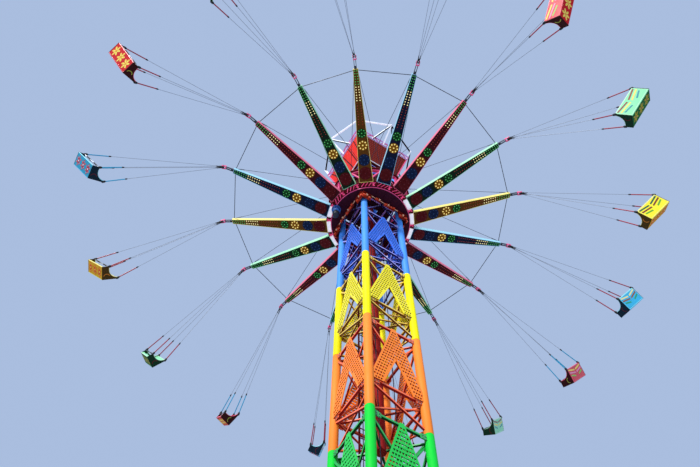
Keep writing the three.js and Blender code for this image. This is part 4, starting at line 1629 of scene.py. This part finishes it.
def arm_fork():
    """The fork round the chair's pin, with its pin and end nuts, its middle at the pin."""
    fork = Shape()
    fork.box(vec(-0.11, -FORK_HALF, -0.05), vec(-0.075, FORK_HALF, 0.05), 3)
    cheek, pin_half, nut = 0.016, 0.068, 0.012
    for y in (-FORK_HALF + cheek, FORK_HALF):
        fork.plate(FORK_CHEEK, facing((1, 0, 0), (0, 0, 1), (0, -1, 0), (0, y, 0)), cheek, 3)
    fork.tube(vec(0, -pin_half, 0), vec(0, pin_half, 0), PIN_RADIUS, 12, 4)
    for side in (-1, 1):
        a = vec(0, side * FORK_HALF, 0)
        fork.turned(along(a, a + vec(0, side * nut, 0)), [(0.027, 0), (0.027, nut)], 6, 4)
    return fork


def rosette_shape(radius):
    """Round backing plate with eight raised petals and a centre boss, standing along +Z."""
    shape = Shape()
    flat = Matrix.Identity(4)
    shape.turned(flat, [(radius, 0), (radius, 0.006), (radius - 0.006, 0.009)], 32)
    outline = petal(radius * 0.62, radius * 0.30, radius * 0.19, 10)
    for place in ring_places(8, 22.5):
        shape.plate(outline, place @ move(0, 0, ROSETTE_FACE), 0.005)
    boss = [(radius * 0.26, ROSETTE_FACE), (radius * 0.22, 0.016), (radius * 0.1, 0.020)]
    shape.turned(flat, boss, 16)
    return shape


def lamp_spots():
    """Where the lamp caps sit under one arm, by colour: round each rosette, then in two rows."""
    found = {name: [] for name in LAMPS}
    for _, at, radius, lamp in ROSETTES:
        plate, reach = under_arm(at), radius * 0.74
        for k in range(8):
            a = math.radians(45 * k)
            found[lamp].append(plate @ move(reach * math.cos(a), reach * math.sin(a), ROSETTE_FACE))
        found[lamp].append(plate @ move(0, 0, 0.018))
    radius = LAMP_ROW_START
    for lamp, row_end in LAMP_ROW_ENDS:
        while radius < row_end:
            y = arm_half_width(radius) * 0.42
            found[lamp] += [under_arm(radius, -y), under_arm(radius, y)]
            radius += LAMP_PITCH
    return found


def build_arms():
    """The sixteen arms with their forks, and under them the rosettes and lamp caps."""
    shape, fork = arm_shape(), arm_fork()
    for k in range(ARMS):
        number, colour = f"{k + 1:02d}", ARM_PAINTS[k % 4]
        place = turn(ARM_PHASE + (k - 4) * STEP)
        pin = place @ move(PIN_AT, 0, PIN_Z) @ turn(-CHAIR_TRAILS[k])
        turned = Shape().join(shape, place).join(fork, pin)
        # Sides and top in a painted sunlit tone; lamp panel in dark paint with painted shade.
        paints = [ARM_COLOUR_AND_SUNLIGHT[colour], ARM_UNDER_COLOUR_AND_SHADE[colour], DARK_STEEL, PINK, ZINC]
        fit(turned, f"arm_{number}_beam", "rotor", paints, [f"arm_{number}"], rounding=0.003)
    whole_arm = Shape()
    for number, (_, at, radius, _) in enumerate(ROSETTES):
        whole_arm.join(rosette_shape(radius), under_arm(at), number)
    plates = Shape().repeat(whole_arm, ring_places(ARMS, ARM_PHASE))
    fit(plates, "arm_rosettes", "rotor", [ROSETTE_PAINT[name] for name, *_ in ROSETTES])
    caps = []
    for name, places in lamp_spots().items():
        caps.append(LAMP_TREE.grow(spots(places), Radius=LAMP_RADIUS[name], Sides=10, Paint=LAMPS[name]))
    mesh = joined(caps, "arm_lamp_caps", list(LAMPS.values()), ring_places(ARMS, ARM_PHASE))
    mount(show(mesh, "arm_lamp_caps"), "rotor")


def build_mast():
    """Pink mast cage over the ring, kept as the frame's own node, with bolts added."""
    coat_node("rotor_mast", PINK)
    places = []
    for place in ring_places(8, ARM_PHASE):
        for z in (RING_TOP + 0.04, MAST_TOP - 0.035):
            for y in (-0.05, 0.05):
                places.append(place @ move(MAST_BOLT_AT, y, z) @ ONTO_X)
    bolts(places, "mast_bolts", "rotor", 0.014, 0.016)


def build_rigging():
    """Hoop over the arms' ends, stay ring on the mast and two stays to each arm."""
    shape = Shape()
    lug_bottom = arm_top(HOOP_RADIUS + LUG_HALF) + SEAM
    hoop_z = lug_bottom + HOOP_OVER_ARM
    outer, inner = circle(STAY_RING_OUTER, ARMS, ARM_PHASE), circle(MAST_OUTER + 0.0005, ARMS, ARM_PHASE)
    shape.band(outer, inner, STAY_RING_Z - STAY_RING_HALF, STAY_RING_Z + STAY_RING_HALF, 2)
    shape.pipe([p + UP * hoop_z for p in circle(HOOP_RADIUS, ARMS, ARM_PHASE)], HOOP_TUBE, 8, 1, True)
    lug_end = vec(HOOP_RADIUS + LUG_HALF, LUG_REACH, hoop_z + LUG_TOP)
    lug = Shape().box(vec(HOOP_RADIUS - LUG_HALF, -LUG_REACH, lug_bottom), lug_end, 1)
    for k, place in enumerate(ring_places(ARMS, ARM_PHASE)):
        shape.join(lug, place)
        for side in (-1, 1):
            a = place @ vec(HOOP_RADIUS, side * STAY_OFFSET, hoop_z)
            anchor = vec(STAY_RING_OUTER - 0.032, -side * 0.042, STAY_RING_Z)
            b = turn(ARM_PHASE + (k + side) * STEP) @ anchor
            shape.tube(a, b, STAY_TUBE, 8)
            shape.turned(along(a, b), TURNBUCKLE, 8, 1)
            shape.turned(along(b, a), STAY_SOCKET, 8, 1)
    fit(shape, "stays_and_hoop", "rotor", [STAY_WIRE, DARK_STEEL, DARK_RED], ["rigging"])


# Chairs

# The side colour of each chair, on its end panels, is a dark tone of the chair's colour: painted shade.
CHAIR_DRESS = {
    "yellow": {
        "shell": "#f8ea1c",
        "border": "#f6ee90",
        "side": "#4a3408",
        "pan": "#dca410",
        "curl": "#c87828",
        "flower": "#d8401c",
        "heart": "#f3e21c",
        "stripes": ["#145a40", "#7a1f10", "#5aa81e"],
    },
    "cyan": {
        "shell": "#1cb4e0",
        "border": "#8fe4ee",
        "side": "#062434",
        "pan": "#2c98b8",
        "curl": "#5a1c2c",
        "flower": "#b81430",
        "heart": "#f2e8ec",
        "stripes": ["#f2e89a", "#8a4a1c", "#0e9a62"],
    },
    "red": {
        "shell": "#e0202c",
        "border": "#f0506a",
        "side": "#340608",
        "pan": "#d01420",
        "curl": "#9aa040",
        "flower": "#ffe868",
        "heart": "#f0a818",
        "stripes": ["#f8dc4c", "#f088b0", "#8ac83c"],
    },
    "green": {
        "shell": "#8ae8a8",
        "border": "#c8f4cc",
        "side": "#06301a",
        "pan": "#126428",
        "curl": "#5a1a1c",
        "flower": "#b8a828",
        "heart": "#7a1c20",
        "stripes": ["#8c2c18", "#f0d860", "#1c8a96"],
    },
}


def side_outline():
    """The chair's end panel: an upright back, a hollowed armrest and a straight underside."""
    half = CHAIR_DEPTH / 2
    points = [(-half, -CHAIR_BACK), (half, -CHAIR_BACK), (half, -0.286)]
    for k in range(11):
        a = math.radians(9 * k)
        points.append((0.10 - 0.265 * math.sin(a), -0.28 + 0.28 * (1 - math.cos(a))))
    points.append((-half, 0.0))
    return points


def chair_shell():
    """Back panel, pan, end panels and rolled edges, before the recline."""
    shape = Shape()
    half_w, half_d = CHAIR_WIDTH / 2, CHAIR_DEPTH / 2
    inner, front = half_w - CHAIR_WALL, -half_d + CHAIR_WALL
    outline = side_outline()
    for side, x in ((-1, -half_w), (1, inner)):
        # End panels in the chair's dark side tone: painted shade.
        shape.plate(outline, move(x, 0, 0) @ ONTO_X, CHAIR_WALL, 2)
        middle = side * (half_w - CHAIR_WALL / 2)
        shape.pipe([vec(middle, y, z) for y, z in outline[2:]], 0.014, 8, 1)
    shape.box(vec(-inner, -half_d, -CHAIR_BACK), vec(inner, front, -0.008))
    shape.box(vec(-inner, front, -CHAIR_BACK), vec(inner, half_d - 0.012, -CHAIR_BACK + CHAIR_PAN), 3)
    for y, z, radius in ((-half_d + 0.0125, -0.012, 0.016), (half_d - 0.016, -CHAIR_BACK + 0.02, 0.019)):
        shape.tube(vec(-inner, y, z), vec(inner, y, z), radius, 12, 1)
    return shape


def seat_moulding():
    """Two hollowed places in one sheet: back rest, hips and thigh rolls."""
    half = CHAIR_WIDTH / 2 - CHAIR_WALL - 0.002
    columns, count = 24, len(MOULDING)
    rows = []
    for i in range(columns + 1):
        u = i / columns
        ridges = ((u - 0.5) / 0.035, u / 0.03, (1 - u) / 0.03)
        hump = sum(math.exp(-(ridge**2)) for ridge in ridges)
        row = []
        for j, (y, z) in enumerate(MOULDING):
            lift = 0.035 * min(1.0, hump) * math.sin(math.pi * j / (count - 1))
            row.append(vec(-half + 2 * half * u, y + lift * 0.5, z + lift))
        rows.append(row)
    points = [p for row in rows for p in row]
    faces = []
    for i in range(columns):
        for j in range(count - 1):
            a = i * count + j
            faces.append((a, a + 1, a + count + 1, a + count))
    base = len(points)
    for row in rows:
        first, last = row[0], row[-1]
        points.append(vec(first.x, MOULDING_BACK, first.z))
        points.append(vec(first.x, MOULDING_BACK, MOULDING_FOOT))
        points.append(vec(last.x, last.y, MOULDING_FOOT))
    for i in range(columns):
        a, b = base + i * 3, base + (i + 1) * 3
        low, high = i * count, (i + 1) * count
        faces += [(a, low, high, b), (a + 1, a, b, b + 1), (a + 2, a + 1, b + 1, b + 2)]
        faces.append((low + count - 1, a + 2, b + 2, high + count - 1))
    faces.append((base, base + 1, base + 2, *reversed(range(count))))
    end = base + columns * 3
    faces.append((end + 2, end + 1, end, *range(columns * count, (columns + 1) * count)))
    return Shape().add(points, faces)


def add_stripes(shape):
    """Two halves of three V stripes on the back, inside a painted border."""
    behind = facing((-1, 0, 0), (0, 0, 1), (0, -1, 0), (0, -CHAIR_DEPTH / 2 + PAINT_SINK, 0))
    for number, (z, start, end) in enumerate(STRIPES):
        low = z - STRIPE_FALL
        outline = [(start, low), (end, z), (end, z + STRIPE_WIDTH), (start, low + STRIPE_WIDTH)]
        shape.plate(mirrored(outline), behind, PAINT_COAT, number)
        shape.plate(outline, behind, PAINT_COAT, number)
    for x0, z0, x1, z1 in BORDERS:
        shape.plate([(x0, z0), (x1, z0), (x1, z1), (x0, z1)], behind, PAINT_COAT, 3)


def add_flowers(shape):
    """Three flowers under the pan, each of six petals with a dot at each tip and one in the middle."""
    under = facing((1, 0, 0), (0, -1, 0), (0, 0, -1), (0, 0, -CHAIR_BACK + PAINT_SINK))
    outline = petal(*PETAL, 12)
    for x in FLOWERS_AT:
        middle = under @ move(x, 0, 0)
        for place in ring_places(PETALS, 90):
            shape.plate(outline, middle @ place, PAINT_COAT, 4)
            shape.turned(middle @ place @ move(PETAL_DOT_AT, 0, 0.002), PETAL_DOT, 12, 5)
        shape.turned(middle, HEART, 16, 5)


def add_curls(shape):
    """A curl on each end panel."""
    lines = []
    for radius in CURL_RADII:
        angles = [math.radians(-80 + 12.5 * k) for k in range(13)]
        y, z = CURL_MIDDLE
        lines.append([(y + radius * math.cos(a), z + radius * 1.1 * math.sin(a)) for a in angles])
    outline = lines[0] + lines[1][::-1]
    x = CHAIR_WIDTH / 2 - PAINT_SINK
    shape.plate(mirrored(outline), facing((0, -1, 0), (0, 0, 1), (-1, 0, 0), (-x, 0, 0)), PAINT_COAT, 6)
    shape.plate(outline, move(x, 0, 0) @ ONTO_X, PAINT_COAT, 6)


def chair_lean():
    """From the straight chair to the chair at the ends of its cables, the pin being the origin."""
    return move(0, 0, -HANG) @ turn(TWIST) @ turn(OUTWARD_TILT, "Y") @ turn(RECLINE, "X")


def link_at_pin():
    """Two cheeks with a round bore for the pin, square outside, and the block that joins them below."""
    angles = [2 * math.pi * k / 24 for k in range(24)]
    rim, bore = [], []
    for a in angles:
        dx, dz = math.cos(a), math.sin(a)
        height = LINK_HALF if dz > 0 else LINK_LENGTH
        reach = min(LINK_HALF / max(abs(dx), 1e-9), height / max(abs(dz), 1e-9))
        rim.append((dx * reach, dz * reach))
        bore.append((LINK_BORE * dx, LINK_BORE * dz))
    link = Shape()
    for low, high in LINK_CHEEKS:
        rings = []
        for y, outline in ((high, rim), (low, rim), (low, bore), (high, bore)):
            rings.append([vec(x, y, z) for x, z in outline])
        link.skin(rings, 2, loop=True)
    foot = vec(-LINK_HALF, -LINK_HALF, -LINK_LENGTH)
    return link.box(foot, vec(LINK_HALF, LINK_HALF, -LINK_LENGTH + 0.03), 2)


def hangers():
    """Rods, cables, corner clamps, lap bar and the link at the pin."""
    shape = Shape()
    recline = chair_lean()
    side, half = CHAIR_WIDTH / 2 - 0.012, CHAIR_DEPTH / 2 - 0.015
    for x, y, z in ((-side, -half, -0.02), (side, -half, -0.02), (-side, half, -0.30), (side, half, -0.30)):
        corner = recline @ vec(x, y, z)
        top = vec(math.copysign(0.022, x), math.copysign(0.022, y), -LINK_LENGTH + 0.015)
        line = along(corner, top)
        whole, rod = (top - corner).length, ROD_LENGTH
        clamp = [(0.02, -0.03), (0.038, -0.01), (0.038, 0.06), (0.02, 0.10)]
        swage = [(0.018, rod - 0.01), (0.022, rod), (0.022, rod + 0.05), (0.008, rod + 0.08)]
        thimble = [(0.0075, whole - 0.16), (0.011, whole - 0.14), (0.011, whole - 0.02), (0.008, whole)]
        shape.turned(line, [(ROD_RADIUS, 0.03), (ROD_RADIUS, rod)], 12, 0)
        shape.turned(line, clamp, 12, 2)
        shape.turned(line, swage, 10, 2)
        shape.turned(line, [(CABLE_RADIUS, rod), (CABLE_RADIUS, whole)], 8, 1)
        shape.turned(line, thimble, 8, 2)
    hip = CHAIR_WIDTH / 2 - CHAIR_WALL
    bar = [vec(-hip - x, y, z) for x, y, z in LAP_BAR] + [vec(hip + x, y, z) for x, y, z in reversed(LAP_BAR)]
    shape.pipe([recline @ p for p in bar], LAP_BAR_TUBE, 10, 3)
    for x in SLEEVES_AT:
        a, b = recline @ vec(x - SLEEVE_HALF, *LAP_MIDDLE), recline @ vec(x + SLEEVE_HALF, *LAP_MIDDLE)
        shape.turned(along(a, b), SLEEVE, 12, 4)
    shape.tube(recline @ vec(0, *LAP_MIDDLE), recline @ vec(0, *LAP_POST_FOOT), LAP_POST_TUBE, 8, 3)
    return shape.join(link_at_pin())


def chair_paints(colour):
    """The finishes of all chairs of one colour, by what they are on."""
    dress = CHAIR_DRESS[colour]
    made = {}
    for key in ("shell", "border", "heart"):
        made[key] = paint(f"{colour} chair {key}", dress[key], wear=0.3, gloss=0.25)
    # The side finish is the end panels' painted shade.
    for key in ("side", "pan", "curl", "flower"):
        made[key] = dull(f"{colour} chair {key}", dress[key], wear=0.3)
    codes = enumerate(dress["stripes"], 1)
    made["stripes"] = [paint(f"{colour} chair stripe {number}", code, wear=0.3) for number, code in codes]
    return made


def build_chairs():
    """The sixteen chairs, each of four pieces: the panels, the moulding, the decoration and the hangers."""
    recline = chair_lean()
    dress = Shape()
    for add in (add_stripes, add_flowers, add_curls):
        add(dress)
    panels = Shape().join(chair_shell(), recline)
    moulding = Shape().join(seat_moulding(), recline)
    dress = Shape().join(dress, recline)
    gear = hangers()
    paints = {colour: chair_paints(colour) for colour in CHAIR_DRESS}
    for k in range(ARMS):
        colour, body = ARM_PAINTS[k % 4], f"chair_{k + 1:02d}"
        pin = turn(ARM_PHASE + (k - 4) * STEP) @ move(PIN_AT, 0, PIN_Z) @ turn(-CHAIR_TRAILS[k])
        place = pin @ turn(-CHAIR_SWINGS[k], "Y")
        made = paints[colour]
        coats = [made["shell"], made["border"], made["side"], made["pan"]]
        shape = Shape().join(panels, place)
        fit(shape, f"{body}_shell", body, coats, [body], rounding=0.006, segments=2)
        fit(Shape().join(moulding, place), f"{body}_moulding", body, [made["shell"]], sharp=60)
        trim = made["stripes"] + [made["border"], made["flower"], made["heart"], made["curl"]]
        fit(Shape().join(dress, place), f"{body}_dress", body, trim)
        rod = ROD_CYAN if k + 1 in CYAN_RODS else ROD_RED
        coats = [rod, WIRE, BLACK, ZINC, FOAM]
        fit(Shape().join(gear, place), f"{body}_hangers", body, coats)


# Ground, light and camera


def build_stage():
    """A pale floor under a soft sky, with the sun's key light."""
    ring = circle(FLOOR_RADIUS, 96)
    floor = Shape().add([p - UP * 0.002 for p in ring], [tuple(range(len(ring)))])
    ground = Finish("pale floor")
    tone = ground.blend(ground.noise(0.4, 2.0), (0.50, 0.51, 0.53, 1), (0.54, 0.55, 0.57, 1))
    ground.feed(tone, "Base Color")
    ground.set(Roughness=0.9)
    show(mesh_of(floor, "floor", [ground.material]), "floor")
    world = bpy.data.worlds.new("studio")
    bpy.context.scene.world = world
    world.use_nodes = True
    sky = world.node_tree.nodes["Background"].inputs
    sky["Color"].default_value = SKY_COLOUR
    sky["Strength"].default_value = SKY_STRENGTH
    key = bpy.data.lights.new("key light", "SUN")
    key.energy = SUN_STRENGTH
    key.angle = math.radians(SUN_WIDTH)
    key.color = SUN_COLOUR
    lamp = show(key, "key light")
    azimuth, height = math.radians(SUN_AZIMUTH), math.radians(SUN_HEIGHT)
    level = math.cos(height)
    to_light = vec(math.cos(azimuth) * level, math.sin(azimuth) * level, math.sin(height))
    lamp.rotation_euler = to_light.to_track_quat("Z", "Y").to_euler()


def build_camera():
    """The photograph's place and aim: near the ground, looking steeply up."""
    azimuth, pitch = math.radians(EYE_AZIMUTH), math.radians(CAMERA_PITCH)
    yaw, roll = math.radians(CAMERA_YAW), math.radians(CAMERA_ROLL)
    heading = turn(CAMERA_HEADING)
    aim = heading @ vec(math.sin(yaw) * math.cos(pitch), math.cos(yaw) * math.cos(pitch), math.sin(pitch))
    right = heading @ vec(math.cos(yaw), -math.sin(yaw), 0)
    over = right.cross(aim)
    side = right * math.cos(roll) + over * math.sin(roll)
    top = over * math.cos(roll) - right * math.sin(roll)
    lens = bpy.data.cameras.new("camera")
    lens.sensor_width = 36
    lens.lens = CAMERA_LENS
    lens.clip_end = 200
    camera = show(lens, "camera")
    eye = (EYE_DISTANCE * math.cos(azimuth), EYE_DISTANCE * math.sin(azimuth), EYE_HEIGHT)
    camera.matrix_world = facing(side, top, -aim, eye)
    bpy.context.scene.camera = camera
    bpy.context.scene.view_settings.view_transform = "Standard"


build_camera()
build_stage()
coat_node("foundation_slab", cast_concrete())
build_tower()
build_bolts()
build_ladder()
build_hoist_ropes()
build_lift_cylinder()
build_service_floor()
build_head()
build_head_tubes()
build_head_rail()
build_crown()
build_carriage()
build_guide_cage()
build_leg_guides()
build_motor()
build_ring()
build_ring_trim()
build_arms()
build_mast()
build_rigging()
build_chairs()
